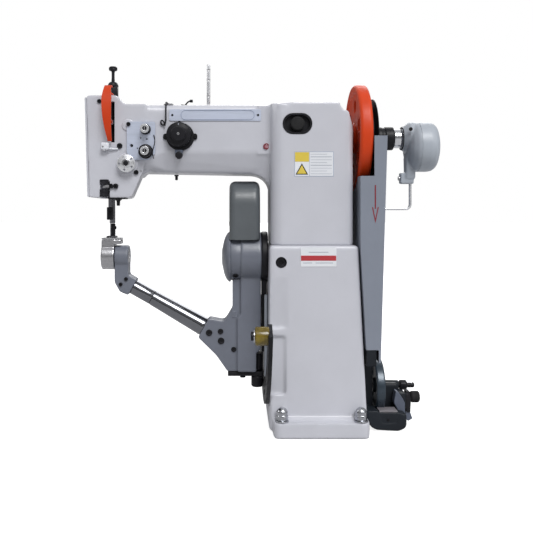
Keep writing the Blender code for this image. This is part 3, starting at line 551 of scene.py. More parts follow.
def arm_body():
    """Arm with flat sides that slope in to its keel, and a belly that rises towards the head."""
    corners = [(-ARM.half, ARM.top, 12), (-ARM.half, ARM.slope, 22), (-ARM.keel, ARM.bottom, 10)]
    corners += [(-a, b, radius) for a, b, radius in reversed(corners)]
    arm = prism("arm", [rounded(corners)], "YZ", (-366, -60), 0)
    for vert in arm.data.vertices:
        if vert.co.z < ARM.slope * MM * 0.99 and vert.co.x / MM < -200:
            vert.co.z += 6 * MM
    return arm


def arm_roots():
    """What joins the arm to the column and to the head: a flare, a swelling and fillets below."""
    left, half = COLUMN.left, ARM.half
    flare = rounded([(-110, -half, 0), (-90, -half, 14), (-74, -half - 24, 12), (-60, -half - 24, 0)])
    flare += [(a, -b) for a, b in reversed(flare)]
    swelling = []
    for side in (-1, 1):
        for x, wide, low in ((-350, HEAD.half, 476), (-316, HEAD.half, 484), (-276, half, ARM.slope + 4)):
            for inset, drop in ((12, 0.4), (7.4, 1.4), (3.6, 4.2), (1, 8), (0, 12.6)):
                swelling.append((x, side * (wide - inset), ARM.top - drop))
            swelling.append((x, side * wide, low))
        swelling += [(-350, side * ARM.keel, 470), (-276, side * ARM.keel, ARM.bottom + 8)]
    fillets = []
    steps = 8
    for step in range(steps + 1):
        share = step / steps
        depth = half - share * (half - ARM.keel)
        edge_z = ARM.slope + share * (ARM.bottom - ARM.slope) + 1
        radius = 16 + 17 * share
        outline = arc((left - radius, edge_z - radius), radius, 90, 0, 12)
        outline += [(left + 12, edge_z - radius), (left + 12, edge_z + 20), (left - radius, edge_z + 20)]
        fillets.append(prism("web", [outline], "XZ", (-depth, depth), 0))
    end = HEAD.right + 8.5
    outline = arc((end, 452), 15, 90, 156, 8) + [(end - 26, 458), (end - 26, 480), (end, 480)]
    fillets.append(prism("web", [outline], "XZ", (-46, 0), 0))
    return [prism("arm_root", [flare], "XY", (499, ARM.top - 2), 0), hull("head_root", swelling)], fillets


def head_body():
    """Head with its raised left end, slanting lower right side and narrower rear."""
    corners = [(HEAD.left, HEAD.top, 5), (-366, HEAD.top, 12), (-352, ARM.top, 8), (-312, ARM.top, 2),
               (HEAD.right, 470, 14), (HEAD.lower_right, HEAD.bottom, 8), (HEAD.left + 5, HEAD.bottom, 3)]
    head = prism("head", [rounded(corners)], "XZ", (-HEAD.half, HEAD.half), 0)
    for vert in head.data.vertices:
        if vert.co.y > 0 and vert.co.x / MM > -360 and vert.co.z / MM < 500:
            vert.co.x -= 14 * MM
    return ease_edges(head, 7, 4)


def upper_casting():
    """Column, arm and head as one soft-edged casting with its machined openings."""
    roots, fillets = arm_roots()
    shell = cast("upper_casting_shell", [column_body(), arm_body(), *roots, head_body(), *fillets], 2.2, 5)
    window = span("oil_window")
    oval = rectangle((window.x0 - 0.4, window.x1 + 0.4), (window.z0 - 0.4, window.z1 + 0.4), 18.7)
    needle, presser = (NEEDLE.x, NEEDLE.y, 0), (PRESSER.x, PRESSER.y, 0)
    carve(shell, block("column_well", (-40, 22), (-32, 32), (320, 570), 0),
          block("arm_way", (-328, -30), (-30, 30), (497, 570), 0),
          block("arm_window", (-300, -110), (20, 70), (515, 562), 0),
          block("head_way", (-440, -345), (-33, 32), (466, 588), 0),
          rod("shaft_bore", 8.5, -350, 80, "X", SHAFT_AXIS, 32, 0),
          block("clamp_slot", (-396, -378.4), (-90, 5.2), (400, 450), 0),
          rod("needle_bore", 4.2, 430, 480, "Z", needle, 32, 0),
          rod("presser_bore", 4.4, 400, 480, "Z", presser, 32, 0),
          rod("adjuster_bore", 3.6, 580, 620, "Z", presser, 32, 0),
          block("take_up_slot", (-376.2, -369.8), (-90, -30), (520, 594), 0),
          prism("oval_recess", [oval], "XZ", (-90, -72), 0))
    show(shell, "white_paint", "upper_casting")


def base_casting():
    """Lower column on its flange, with two shallow scoops beside its left edge."""
    s = span("base_casting")
    top_z, flange_z, half = s.z1, span("foot_nut_1").z0 - 0.3, 92
    body = block("body", (-91, s.x1), (-half - 3, half + 3), (6, top_z), 6, top=((-90, 68), (-half, half)))
    front = -half - 14
    scoop = hull("scoop", [(x, y, z) for z, deep in ((280, -92.9), (188, -82)) for x,
                           y in ((-104, front), (-104, deep), (-58, -92.6), (-52, front))])
    deep = hull("deep", [(x, y, z) for z, deep in ((174, -84), (71, -84)) for x,
                         y in ((-104, front), (-104, deep), (-63, -89.6), (-57, front))])
    carve(body, scoop, deep)
    toe = block("toe", (-84, s.x1 - 6), (-104, 104), (flange_z - 3, flange_z + 1.5), 0,
                top=((-84, s.x1 - 10), (-97, 97)))
    toe.data.transform(Matrix.Translation(Vector((0, 0, 3 * MM))))
    flange = prism("flange", [rectangle((-84, s.x1), (s.y0, s.y1), 14)], "XY", (0, flange_z), 2.5)
    heel = block("heel", (-84.5, -60), (-100, 100), (7, 62), 3, top=((-90.4, -60), (-95, 95)))
    shell = cast("base_casting_shell", [body, flange, heel, toe], 2.4, 4)
    carve(shell, block("belt_well", (-42, 24), (-33, 33), (14, 400), 0),
          rod("plug_hole", 10, -110, -84, "Y", (-69.4, 0, 304), 48, 0),
          rod("trunnion_seat", 22.3, -100, -70, "X", SWING_AXIS, 48, 0),
          rod("lower_shaft_bore", 8.6, -80, 61, "X", SWING_AXIS, 32, 0))
    show(shell, "white_paint", "base_casting")
    socket_screw("plug_screw", (-69.4, -84.2, 304), FRONT, 9.4, 4.5)


def covers():
    """Face cover, rear arm cover, and the screws that hold them."""
    s = span("face_cover")
    outline = rounded([(s.x0, 601, 3), (-421.6, s.z1, 1), (-416.6, s.z0, 1), (-420, s.z0, 2)])
    show(prism("face_cover_cast", [outline], "XZ", (s.y0, s.y1), 2.2), "white_paint", "face_cover",
         finish="cover_white")
    for index, (y, z) in enumerate([(-40, 585), (40, 585), (-40, 440), (40, 440)]):
        place = (-424.0 if z > 500 else -420.0, y, z)
        slotted_screw(f"face_screw_{index}", place, LEFT, 4.2, 0.7, turn=20 + 40 * index)
    s = span("arm_rear_cover")
    outline = rectangle((s.x0, s.x1), (s.z0, s.z1), 8)
    cover = prism("arm_rear_cover_plate", [outline], "XZ", (s.y0, s.y1), 0.9)
    show(cover, "white_paint", "arm_rear_cover", finish="cover_white")
    for index, (x, z) in enumerate([(s.x0 + 9, s.z0 + 9), (s.x1 - 9, s.z0 + 9), (s.x0 + 9, s.z1 - 9),
                                    (s.x1 - 9, s.z1 - 9), (s.x, s.z0 + 7), (s.x, s.z1 - 7)]):
        slotted_screw(f"rear_screw_{index}", (x, s.y1 - 0.2, z), BACK, 3.6, 1.9, turn=25 * index)


def foot_nuts():
    """Acorn nuts: a washer, a hexagon and a polished dome."""
    for index in range(1, 5):
        s = span(f"foot_nut_{index}")
        centre = (s.x, s.y, s.z0)
        washer = [(5, 2.6), (12, 2.6), (12, 0), (5, 0)]
        show(turned(f"foot_washer_{index}", washer, "Z", centre, 64, 0.5), "chrome", f"foot_nut_{index}",
             finish="nut_chrome")
        show(hexagon_nut(f"foot_hexagon_{index}", 10, 2.7, 12.5, "Z", centre), "chrome",
             finish="nut_chrome")
        dome = arc((0, 15.4), 10, 90, 8, 12)[1:]
        show(turned(f"foot_dome_{index}", [(0, 25.4)] + dome + [(10, 12.6), (0, 12.6)], "Z", centre, 64, 0),
             "chrome", finish="nut_chrome")


# --------------------------------------------------------- fixed outer parts

def sector_and_stops():
    """Black sector plate round the swing axis, its stops and the light side plate."""
    s = span("sector_plate")
    in_r, out_r = 230.2, SWING_Z - s.z0
    outline = arc((0, SWING_Z), out_r, -156, -24, 96) + arc((0, SWING_Z), in_r, -24.5, -155.5, 96)
    plate = prism("sector_plate_rim", [outline], "YZ", (s.x0 - 1.8, s.x1), 0.9)
    show(plate, "black_oxide", "sector_plate")
    for index, angle in enumerate((-125, -108, -72, -55)):
        y, z = 250 * math.cos(math.radians(angle)), SWING_Z + 250 * math.sin(math.radians(angle))
        socket_screw(f"sector_screw_{index}", (s.x0 - 1.7, y, z), LEFT, 5.5, 1.2)
    for side in ("front", "rear"):
        s = span(f"end_stop_{side}")
        centre = (0, s.y, s.z)
        buffer = [(0, s.x1), (14, s.x1), (15, s.x1 - 1.5), (15, s.x0 + 8), (13.6, s.x0 + 6.8),
                  (0, s.x0 + 6.4)]
        show(turned(f"stop_{side}_buffer", buffer, "X", centre, 72, 0.8), "amber_urethane",
             f"end_stop_{side}")
        washer = [(0, s.x0 + 6.3), (10.5, s.x0 + 6.3), (10.5, s.x0 + 4.6), (0, s.x0 + 4.6)]
        show(turned(f"stop_{side}_washer", washer, "X", centre, 56, 0.5), "chrome")
        socket_screw(f"stop_{side}_bolt", (s.x0 + 4.6, s.y, s.z), LEFT, 7.2, 4.5)
    s = span("side_plate")
    show(block("side_plate_bar", (s.x0, s.x1), (s.y0, s.y1), (s.z0, s.z1), 1.2), "light_grey_paint",
         "side_plate")


def belt_cover():
    """Folded sheet channel with its notch at the foot and the turning arrow."""
    s = span("belt_cover")
    left_low, left_mid, foot = 81, s.x0, 105
    outer = [(left_low, s.z0), (foot, s.z0), (s.x1, s.z1), (94, s.z1), (94, 457), (left_mid, 457),
             (left_mid, 334)]
    cover = prism("belt_cover_sheet", [outer], "XZ", (s.y0, s.y1), 0)
    inner = [(left_low + 2.3, 110), (foot - 2.9, 110), (s.x1 - 2.1, 560), (71.6, 560), (71.6, 334)]
    carve(cover, prism("hollow", [inner], "XZ", (s.y0 + 2, s.y1 - 2), 0),
          rod("wheel_notch", 104, 60, 80, "X", SHAFT_AXIS, 96, 0),
          rod("coupling_notch", 25, 105, 130, "X", SHAFT_AXIS, 48, 0),
          prism("foot_notch", [rectangle((70, 101.6), (100, 150.6), 2)], "XZ", (s.y0 - 5, s.y0 + 30), 0))
    ease_edges(cover, 0.7, 2, 40)
    show(cover, "cover_grey_paint", "belt_cover")
    front = s.y0 - 0.35
    x = 95.4
    shaft = prism("arrow_shaft", [rectangle((x - 1.1, x + 1.1), (399, 441), 0.3)], "XZ",
                  (front, s.y0 + 0.1), 0.1)
    show(shaft, "cover_grey_paint", finish="arrow_red")
    half, top_z, tip_z, line = 6, 402, 374, 2.0
    outline = [(x - half, top_z), (x, tip_z), (x + half, top_z), (x + half - line, top_z), (x, tip_z + 8),
               (x - half + line, top_z)]
    tip = prism("arrow_tip", [outline], "XZ", (front, s.y0 + 0.1), 0)
    show(tip, "cover_grey_paint", finish="arrow_red")
    for index, z in enumerate((205, 345, 498)):
        socket_screw(f"cover_screw_{index}", (s.x1 - (s.z1 - z) * 0.03 - 0.1, -84, z), RIGHT, 4.6, 2.2)


def oil_window():
    """Black oval cup let into the column, with its round filler cap."""
    s = span("oil_window")
    outer = rectangle((s.x0, s.x1), (s.z0, s.z1), 18.3)
    inner = rectangle((s.x0 + 3.4, s.x1 - 3.4), (s.z0 + 3.4, s.z1 - 3.4), 15)
    show(prism("oil_cup_rim", [outer, inner], "XZ", (-81.2, s.y1 - 1.5), 0.8), "black_oxide", "oil_window")
    floor = rectangle((s.x0 + 0.4, s.x1 - 0.4), (s.z0 + 0.4, s.z1 - 0.4), 18)
    show(prism("oil_cup_floor", [floor], "XZ", (s.y1 - 1.4, s.y1), 0.2), "black_oxide")
    cap = [(0, -76), (12.5, -76), (12.5, s.y0 + 2), (10.5, s.y0), (0, s.y0)]
    knob = turned("oil_cap", cap, "Y", (-39.7, 0, 551.5), 72, 0.5, knurl=(s.y0 + 2.4, -77, 0.5))
    show(knob, "black_rubber")


def sticker(name, x, z, depth, finish, radius=0.0, edge=0.0):
    """A thin flat patch that faces forward."""
    show(prism(name, [rectangle(x, z, radius)], "XZ", depth, edge), "bright_plate", finish=finish)


def plates():
    """Blank name plate, blank label and data plate."""
    s = span("name_plate")
    plate = prism("name_plate_blank", [rectangle((s.x0, s.x1), (s.z0, s.z1), 3)], "XZ", (s.y0 + 0.8, s.y1),
                  0.4)
    show(plate, "bright_plate", "name_plate")
    outer = rectangle((s.x0 + 21, s.x1 - 12), (s.z0 + 1.6, s.z1 - 1.6), 8.6)
    inner = rectangle((s.x0 + 21.8, s.x1 - 12.8), (s.z0 + 2.4, s.z1 - 2.4), 7.8)
    rim = prism("name_plate_bead", [outer, inner], "XZ", (s.y0 + 0.1, s.y0 + 0.9), 0.25)
    show(rim, "bright_plate", finish="label_blue")
    for index, x in enumerate((s.x0 + 5.5, s.x1 - 5.5)):
        slotted_screw(f"name_plate_screw_{index}", (x, s.y0 + 0.8, s.z), FRONT, 2.1, 1.0, "black_oxide", 60)
    face = -COLUMN.half
    x0, x1, z0, z1 = -45.5, 25.0, 457.0, 501.5
    split = x0 + 27
    sheet, mark = (face - 0.35, face + 0.2), (face - 0.6, face - 0.2)
    sticker("label_edge", (x0, x1), (z0, z1), (face - 0.2, face + 0.3), "label_blue", 1)
    sticker("label_field", (x0 + 0.9, x1 - 0.9), (z0 + 0.9, z1 - 0.9), sheet, "label_white", 0.6)
    sticker("label_patch", (x0 + 1.2, split - 0.6), (z0 + 26.5, z1 - 1.2), mark, "label_yellow", 0.5)
    centre = (x0 + split) / 2
    for name, half, low, high, front, finish in (
        ("label_triangle_rim", 11.2, 3.4, 23.6, mark[0], "black_oxide"),
        ("label_triangle", 8.4, 5.0, 20.2, mark[0] - 0.2, "label_yellow"),
    ):
        corners = [(centre - half, z0 + low), (centre + half, z0 + low), (centre, z0 + high)]
        show(prism(name, [corners], "XZ", (front, mark[1]), 0), "bright_plate", finish=finish)
    sticker("label_divider", (split, split + 0.5), (z0 + 1, z1 - 1), mark, "label_blue")
    for index in range(8):
        z = z1 - 5 - index * 5.0
        right = x1 - (3.5 if index % 3 else 12.0)
        thick = 1.1 if index in (1, 4) else 0.6
        sticker(f"label_line_{index}", (split + 2.2, right), (z, z + thick), mark, "label_line")
    face = -92.4
    x0, x1, z0, z1 = -35.0, 28.0, 297.0, 331.0
    mark = (face - 0.8, face)
    sticker("data_plate", (x0, x1), (z0, z1), (face - 0.5, face + 0.9), "label_white", 1.5, 0.15)
    sticker("data_band", (x0 + 0.4, x1 - 0.4), (z0 + 10.5, z0 + 19.5), mark, "label_red", 0.3)
    lines = [(x0 + 4, x0 + 20, z0 + 6), (x0 + 26, x1 - 6, z0 + 6), (x0 + 14, x1 - 14, z0 + 25)]
    for index, (left, right, z) in enumerate(lines):
        sticker(f"data_line_{index}", (left, right), (z, z + 1.0), mark, "label_line")


def thread_post():
    """Thin polished post with three cross holes and a small base nut."""
    s = span("thread_post")
    profile = [(0, s.z1), (2.3, s.z1), (3.25, s.z1 - 1.5), (3.25, 598), (0, 598)]
    post = turned("thread_post_rod", profile, "Z", (s.x, 0, 0), 48, 0.4)
    carve(post, *[rod("eye", 1.6, -10, 10, "Y", (s.x, 0, z), 24, 0) for z in (662, 643, 612)])
    show(post, "chrome", "thread_post", finish="satin_chrome")
    show(hexagon_nut("thread_post_nut", 5.6, s.z0 - 1, s.z0 + 6, "Z", (s.x, 0, 0)), "steel")
    for index, z in enumerate((662, 643, 612)):
        collar = [(3.2, z + 2.4), (3.7, z + 2.4), (3.7, z + 1.7), (3.2, z + 1.7)]
        show(turned(f"thread_post_bead_{index}", collar, "Z", (s.x, 0, 0), 40, 0), "steel")


# ---------------------------------------------------------------- head front

def tension_nut(name, node, radius):
    """Thread discs, spring and knurled nut of one tension."""
    n = span(node)
    centre = (n.x, 0, n.z)
    deep = radius * (0.85 if name == "upper" else 0.6)
    discs = [(0, n.y1), (radius, n.y1), (radius, n.y1 - 1), (radius * 0.7, n.y1 - 1.9),
             (radius, n.y1 - 2.8), (radius, n.y1 - 3.8), (0, n.y1 - 3.8)]
    show(turned(f"tension_{name}_discs", discs, "Y", centre, 72, 0.25), "black_oxide", node)
    coil = []
    for k in range(49):
        angle = math.tau * k / 12
        reach = radius * 0.72 - k * 0.02
        coil.append((n.x + reach * math.cos(angle), n.y1 - 4.6 - k * 0.09, n.z + reach * math.sin(angle)))
    show(wire(f"tension_{name}_spring", coil, 0.75, True, 4), "steel", body=BODY_OF[node])
    head = [(0, n.y1 - 5.5), (deep * 0.9, n.y1 - 5.5), (deep, n.y1 - 9), (radius * 0.86, n.y1 - 9.4),
            (radius * 0.86, n.y0 + 3.6), (deep, n.y0 + 2.6), (deep, n.y0 + 1), (deep * 0.55, n.y0 + 1),
            (0, n.y0 + 2)]
    nut = turned(f"tension_{name}_knob", head, "Y", centre, 96, 0.3, knurl=(n.y0 + 4.2, n.y1 - 10, 0.45))
    show(nut, "black_oxide", body=BODY_OF[node])
    face = [(deep * 0.5, n.y0 + 3), (deep * 1.02, n.y0 + 3), (deep * 1.02, n.y0 + 0.1),
            (deep * 0.5, n.y0 + 0.1)]
    show(turned(f"tension_{name}_face", face, "Y", centre, 72, 0.6), "chrome", body=BODY_OF[node],
         finish="satin_chrome")
    show(block(f"tension_{name}_key", (n.x - 1, n.x + 1), (n.y0 + 0.5, n.y0 + 2),
               (n.z - deep * 0.4, n.z + deep * 0.4), 0.2), "steel", body=BODY_OF[node])


def rotary_disc():
    """Grooved disc with five holes that the thread runs round."""
    d = span("tension_disc")
    centre = (d.x, 0, d.z)
    disc = [(0, d.y1), (4.2, d.y1), (4.2, -66), (16, -67.5), (16, -69), (11, -71), (16, -73), (16, -74.5),
            (8.5, -75.6), (8.5, -76.4), (0, -76.4)]
    body = turned("rotary_disc", disc, "Y", centre, 96, 0.4)
    holes = []
    for k in range(5):
        angle = math.radians(72 * k + 40)
        holes.append(rod("disc_hole", 1.9, -90, -64, "Y", (d.x + 12 * math.cos(angle), 0,
                                                           d.z + 12 * math.sin(angle)), 24, 0))
    carve(body, *holes)
    show(body, "chrome", "tension_disc", finish="satin_chrome")
    stud = [(0, -76), (4.6, -76), (4.6, -78.4), (3.4, d.y0), (0, d.y0)]
    show(turned("rotary_disc_stud", stud, "Y", centre, 48, 0.4), "black_oxide",
         body=BODY_OF["tension_disc"])
    coil = [(d.x + 6.6 * math.cos(k / 3), -77.3 - k * 0.02, d.z + 6.6 * math.sin(k / 3)) for k in range(15)]
    show(wire("rotary_disc_spring", coil, 0.8, True, 4), "steel", body=BODY_OF["tension_disc"])
    for name, x, z, radius in (("disc", d.x - 0.5, d.z - 1, 20.5), ("plate", -345.5, 551, 11.5)):
        boss = [(0, -58), (radius, -58), (radius, -60.6), (radius - 1.4, -62), (0, -62)]
        show(turned(f"{name}_boss", boss, "Y", (x, 0, z), 96, 0.9), "white_paint")


def tension_group():
    """Bright tension plate with its nuts, springs, pins, disc and raised rings."""
    s = span("tension_plate")
    corners = [(s.x0, s.z1, 3), (s.x1, s.z1, 3), (s.x1, 500, 3), (-308, s.z0, 5), (-333, s.z0, 3),
               (s.x0, 500, 4)]
    holes = [arc((x, z), radius, 0, 345, 23) for x, z, radius in [(-322, 527.5, 1.3), (-311, 525.6, 1.6),
                                                                  (-328, 509, 1.3), (-338.6, 513.7, 3.0)]]
    plate = prism("tension_plate_bright", [rounded(corners)] + holes, "XZ", (s.y0, s.y1), 0.5)
    show(plate, "bright_plate", "tension_plate")
    backing = prism("tension_plate_back", [rectangle((-340, -303), (496, 550), 3)], "XZ",
                    (s.y1, s.y1 + 0.25), 0)
    show(backing, "black_oxide")
    socket_screw("tension_screw_top", (-344, s.y0 + 0.2, 552.4), FRONT, 3.9, 2.6)
    socket_screw("tension_screw_low", (-330.5, -60.2, 465.5), FRONT, 4.4, 3.0)
    spring = [(-298.2 + 2.2 * math.sin(k / 12 * math.tau), s.y0 - 1.2, 533 - 3.6 * k) for k in range(13)]
    show(wire("check_spring", spring, 0.8, True), "black_oxide")
    tension_nut("upper", "tension_nut_upper", 9.4)
    tension_nut("lower", "tension_nut_lower", 13.0)
    rotary_disc()


def head_front():
    """Take-up guard, thread block, screws and the clamp's window on the head."""
    s = span("take_up_guard")
    centre = (-52, 566)
    outer = [(centre[0] + 30 * a, centre[1] + 59 * b) for a, b in arc((0, 0), 1, 78, 230, 40)]
    inner = [(centre[0] + 28 * a, centre[1] + 57 * b) for a, b in arc((0, 0), 1, 230, 78, 40)]
    guard = prism("take_up_guard_strip", [outer + inner], "YZ", (s.x0, s.x1), 0)
    for vert in guard.data.vertices:
        share = max(0, min(1, (vert.co.z / MM - s.z0) / (s.z1 - s.z0)))
        middle = (s.x0 + s.x1) / 2 + (1 - share) ** 2 * 5.0
        half = 4.0 + 4.8 * math.sin(min(1, share * 1.35) * math.pi / 2) - 2.6 * max(0, share - 0.8) / 0.2
        vert.co.x = (middle + (half if vert.co.x / MM > s.x else -half)) * MM
    ease_edges(guard, 0.7, 3, 50)
    show(guard, "orange_paint", "take_up_guard")
    show(block("guard_foot", (s.x0 + 1, s.x1 - 1), (-56, s.y1), (608, 611), 0.8), "orange_paint")
    socket_screw("guard_screw", (s.x, -44.5, 611), UP, 3.4, 2.6)
    # Black sheets on the walls of the take-up slot: painted shade for the depth of the slot.
    shade_sheet = block("take_up_shade_sheet", (-376.1, -375.2), (-59.8, -32), (520.3, 593), 0)
    show(shade_sheet, "black_oxide", finish="painted_slot_shade")
    shade_sheet = block("take_up_lining_right", (-370.7, -369.9), (-60.6, -32), (520.3, 593), 0.2)
    show(shade_sheet, "black_oxide", finish="painted_slot_shade")
    b = span("thread_block")
    body = block("thread_block_body", (b.x0, -378.5), (b.y0, b.y1), (b.z0 + 1, b.z1), 2.2)
    show(body, "white_paint", "thread_block", finish="thread_plastic")
    lip = [(-381, b.y0 + 6, b.z0 + 3.5), (-372, b.y0 + 7.6, b.z0 + 2.6),
           (b.x1 + 1.5, b.y0 + 9.2, b.z0 + 2.8)]
    show(wire("thread_block_lip", lip, 1.7, True), "white_paint", finish="thread_plastic")
    clip = [(b.x0 + 1, b.y0 + 1.8, b.z0 + 0.4), (b.x0 + 6, b.y0 + 1.2, b.z0 - 0.2),
            (-380, b.y0 + 4, b.z0 + 0.6)]
    show(wire("thread_block_clip", clip, 0.8, True), "steel")
    slotted_screw("thread_block_screw", (b.x0 + 4, b.y0 + 0.2, b.z - 0.5), FRONT, 1.8, 0.8, "steel", 15)
    socket_screw("head_screw_left", (-397.5, -59.9, 594.5), FRONT, 3.9, 2.4)
    socket_screw("head_screw_middle", (-360.5, -59.9, 513.5), FRONT, 5.0, 3.2)
    slotted_screw("head_screw_small", (-322, -59.9, 468), FRONT, 1.6, 1.0, "steel", 50)
    for index, x in enumerate((-376.5, -367.5)):
        socket_screw(f"clamp_screw_{index}", (x, -59.9, 440.5), FRONT, 4.7, 4.4)
    tongue = prism("clamp_tongue", [rounded([(-394, 437, 1), (-379, 438, 2), (-379, 443, 2),
                                             (-386, 442, 1)])], "XZ", (-64.5, -61.5), 0.4)
    show(tongue, "steel")
    for name, z0, z1 in (("upper", 443.5, 452.5), ("lower", 421.5, 435)):
        plate = prism(f"clamp_plate_{name}", [rectangle((-396.5, -380.5), (z0, z1), 1)], "XZ",
                      (-61.6, -60.3), 0.4)
        show(plate, "black_oxide")
    pin = [(0, 421.5), (7.6, 421.5), (7.6, 417.5), (3.4, 414), (3.0, 405.5), (0, 405)]
    show(turned("head_under_pin", pin, "Z", (-367.5, -34, 0), 48, 0.5), "black_oxide")
    under = block("head_under_plate", (-384, -352), (-52, -20), (417.6, 420.4), 0.8)
    show(under, "black_oxide")


def presser_tower():
    """Black block, its domed seat, and the knurled adjusting screw."""
    s = span("presser_tower")
    body = block("tower_block", (s.x0 + 3, s.x1 - 1), (s.y0 + 2, s.y1 - 2), (s.z0, 634), 1.6)
    centre = (PRESSER.x, PRESSER.y, 0)
    dome = [(0, s.z1), (4.2, s.z1), (8.2, 640.4), (10.2, 636), (10.2, 633), (0, 633)]
    carve(body, rod("bore", 3.6, 600, 650, "Z", centre, 32, 0))
    show(body, "black_oxide", "presser_tower")
    seat = carve(turned("tower_dome", dome, "Z", centre, 64, 1.0),
                 rod("bore", 3.6, 600, 650, "Z", centre, 32, 0))
    show(seat, "black_oxide")
    a = span("presser_adjuster")
    profile = [(0, a.z1 - 1.5), (2, a.z1), (6.4, a.z1 - 0.4), (8, a.z1 - 2.4), (8, a.z1 - 6.6),
               (6.4, a.z1 - 8), (3.4, a.z1 - 9), (2.9, a.z1 - 12), (2.9, 650), (3.2, 646), (3.2, a.z0),
               (0, a.z0)]
    screw = turned("adjuster_screw", profile, "Z", centre, 80, 0.5, knurl=(a.z1 - 6.4, a.z1 - 2.6, 0.4))
    show(screw, "black_oxide", "presser_adjuster")


def arm_front():
    """Thread guide wire, oil sight, top pieces and the pin under the arm."""
    face = -ARM.half
    wire_x = -277
    guide = [(wire_x + 3, face + 12, 592), (wire_x, face + 2, 595), (wire_x, face - 3.4, 592),
             (wire_x, face - 3.6, 580), (wire_x, face - 3.6, 566), (wire_x, face - 3.6, 557),
             (wire_x - 3, face - 3.8, 551), (wire_x - 8, face - 4.2, 552), (wire_x - 10, face - 4.8, 557),
             (wire_x - 7, face - 5.4, 561), (wire_x - 3, face - 5.6, 558), (wire_x - 1.6, face - 5.4, 550)]
    show(wire("thread_guide", guide, 1.35, True), "black_oxide")
    show(block("thread_guide_foot", (wire_x - 5, wire_x + 12), (face + 8, face + 20), (590.2, 592), 0.5),
         "steel")
    slotted_screw("thread_guide_screw", (wire_x + 7, face + 14, 592), UP, 3.2, 1.8, "steel")
    sight = (-94.5, 0, 513)
    ring = [(3.6, -57.4), (5.6, -57.4), (5.6, -54), (3.6, -54)]
    show(turned("oil_sight_ring", ring, "Y", sight, 48, 0.5), "steel", finish="arrow_red")
    glass = [(0, -54), (3.6, -54), (3.2, -56.4), (0, -57)]
    show(turned("oil_sight_glass", glass, "Y", sight, 48, 0.3), "steel", finish="sight_red")
    pin = [(0, 463), (4.2, 463), (4.2, 461), (2.6, 460.4), (2.6, 453.5), (0, 453)]
    show(turned("arm_under_pin", pin, "Z", (-261, -20, 0), 40, 0.4), "black_oxide")
    lug = prism("top_lug", [rounded([(-256, 589.5, 0.4), (-238, 589.5, 0.4), (-241, 594, 1),
                                     (-252, 595.5, 1)])], "XZ", (-18, -6), 0.5)
    show(lug, "black_oxide")
    finger = [(-246, -12, 593), (-243, -12, 599), (-239, -12, 602.5), (-234.5, -12, 603)]
    show(wire("top_finger", finger, 1.4, True), "black_oxide")
    show(rod("top_finger_pad", 2.8, -236.5, -231, "X", (0, -12, 602.6), 32, 0.8), "black_oxide")


def dials():
    """Stitch-length dial with its scale marks, and the reverse lever."""
    s = span("stitch_dial")
    p = span("dial_plate")
    shift_x, shift_z = 2.0, -3.0
    seat = (s.x + shift_x, 0, s.z + shift_z)
    base = [(0, p.y1), (25.4, p.y1), (25.4, p.y0 + 0.5), (24, p.y0), (0, p.y0)]
    show(turned("dial_base", base, "Y", seat, 96, 0.5), "black_oxide", "dial_plate")
    for index, side in enumerate((-1, 1)):
        x = seat[0] + 27 * side
        ends = (x - 4, x + 8) if side < 0 else (x - 8, x + 4)
        ear = prism(f"dial_ear_{index}", [rectangle(ends, (seat[2] - 5.5, seat[2] + 5.5), 4)], "XZ",
                    (p.y0 + 0.6, p.y1), 0.5)
        show(ear, "black_oxide")
        socket_screw(f"dial_screw_{index}", (x, p.y0 + 0.6, seat[2]), FRONT, 3.0, 2.0)
    face = [(0, s.y1), (22.6, s.y1), (23, s.y1 - 2.5), (22.4, -70), (20.6, -72.2), (15.4, -73.6),
            (13.8, -74.6), (13.8, -78.6), (12.2, s.y0), (0, s.y0)]
    dial = turned("dial_knob", face, "Y", (s.x, 0, s.z), 120, 0.5, knurl=(-70.2, s.y1 - 2.2, 0.55))
    show(dial, "black_oxide", "stitch_dial")
    slotted_screw("dial_centre_screw", (s.x, s.y0 + 0.5, s.z), FRONT, 2.4, 0.8, "steel", 40,
                  BODY_OF["stitch_dial"])
    mark = block("dial_mark", (s.x - 0.6, s.x + 0.6), (-73.4, -72.2), (s.z + 16, s.z + 19.5), 0.2)
    show(mark, "black_oxide", body=BODY_OF["stitch_dial"], finish="label_line")
    show(block("dial_pointer", (s.x - 1, s.x + 3), (-67, p.y0 + 0.2), (p.z1 - 3.6, p.z1 - 0.6), 0.8),
         "black_oxide")
    lever = span("reverse_lever")
    corners = [(lever.x - 5, lever.z0 + 1, 4), (lever.x + 5, lever.z0 + 1, 4),
               (lever.x + 8, lever.z1 - 0.3, 2), (lever.x - 8, lever.z1 - 0.3, 2)]
    paddle = prism("reverse_paddle", [rounded(corners)], "XZ", (lever.y0 + 2, lever.y1), 2)
    show(paddle, "black_oxide", "reverse_lever", finish="bracket_paint")
    tip = turned("reverse_tip", [(0, lever.y1 + 0.4), (6.6, lever.y1 + 0.4), (6.6, lever.y0),
                                 (0, lever.y0 - 0.4)], "Y", (lever.x, 0, lever.z0 + 5.4), 64, 1.6)
    show(tip, "black_oxide", body=BODY_OF["reverse_lever"])


# ------------------------------------------------------------ needle and hook

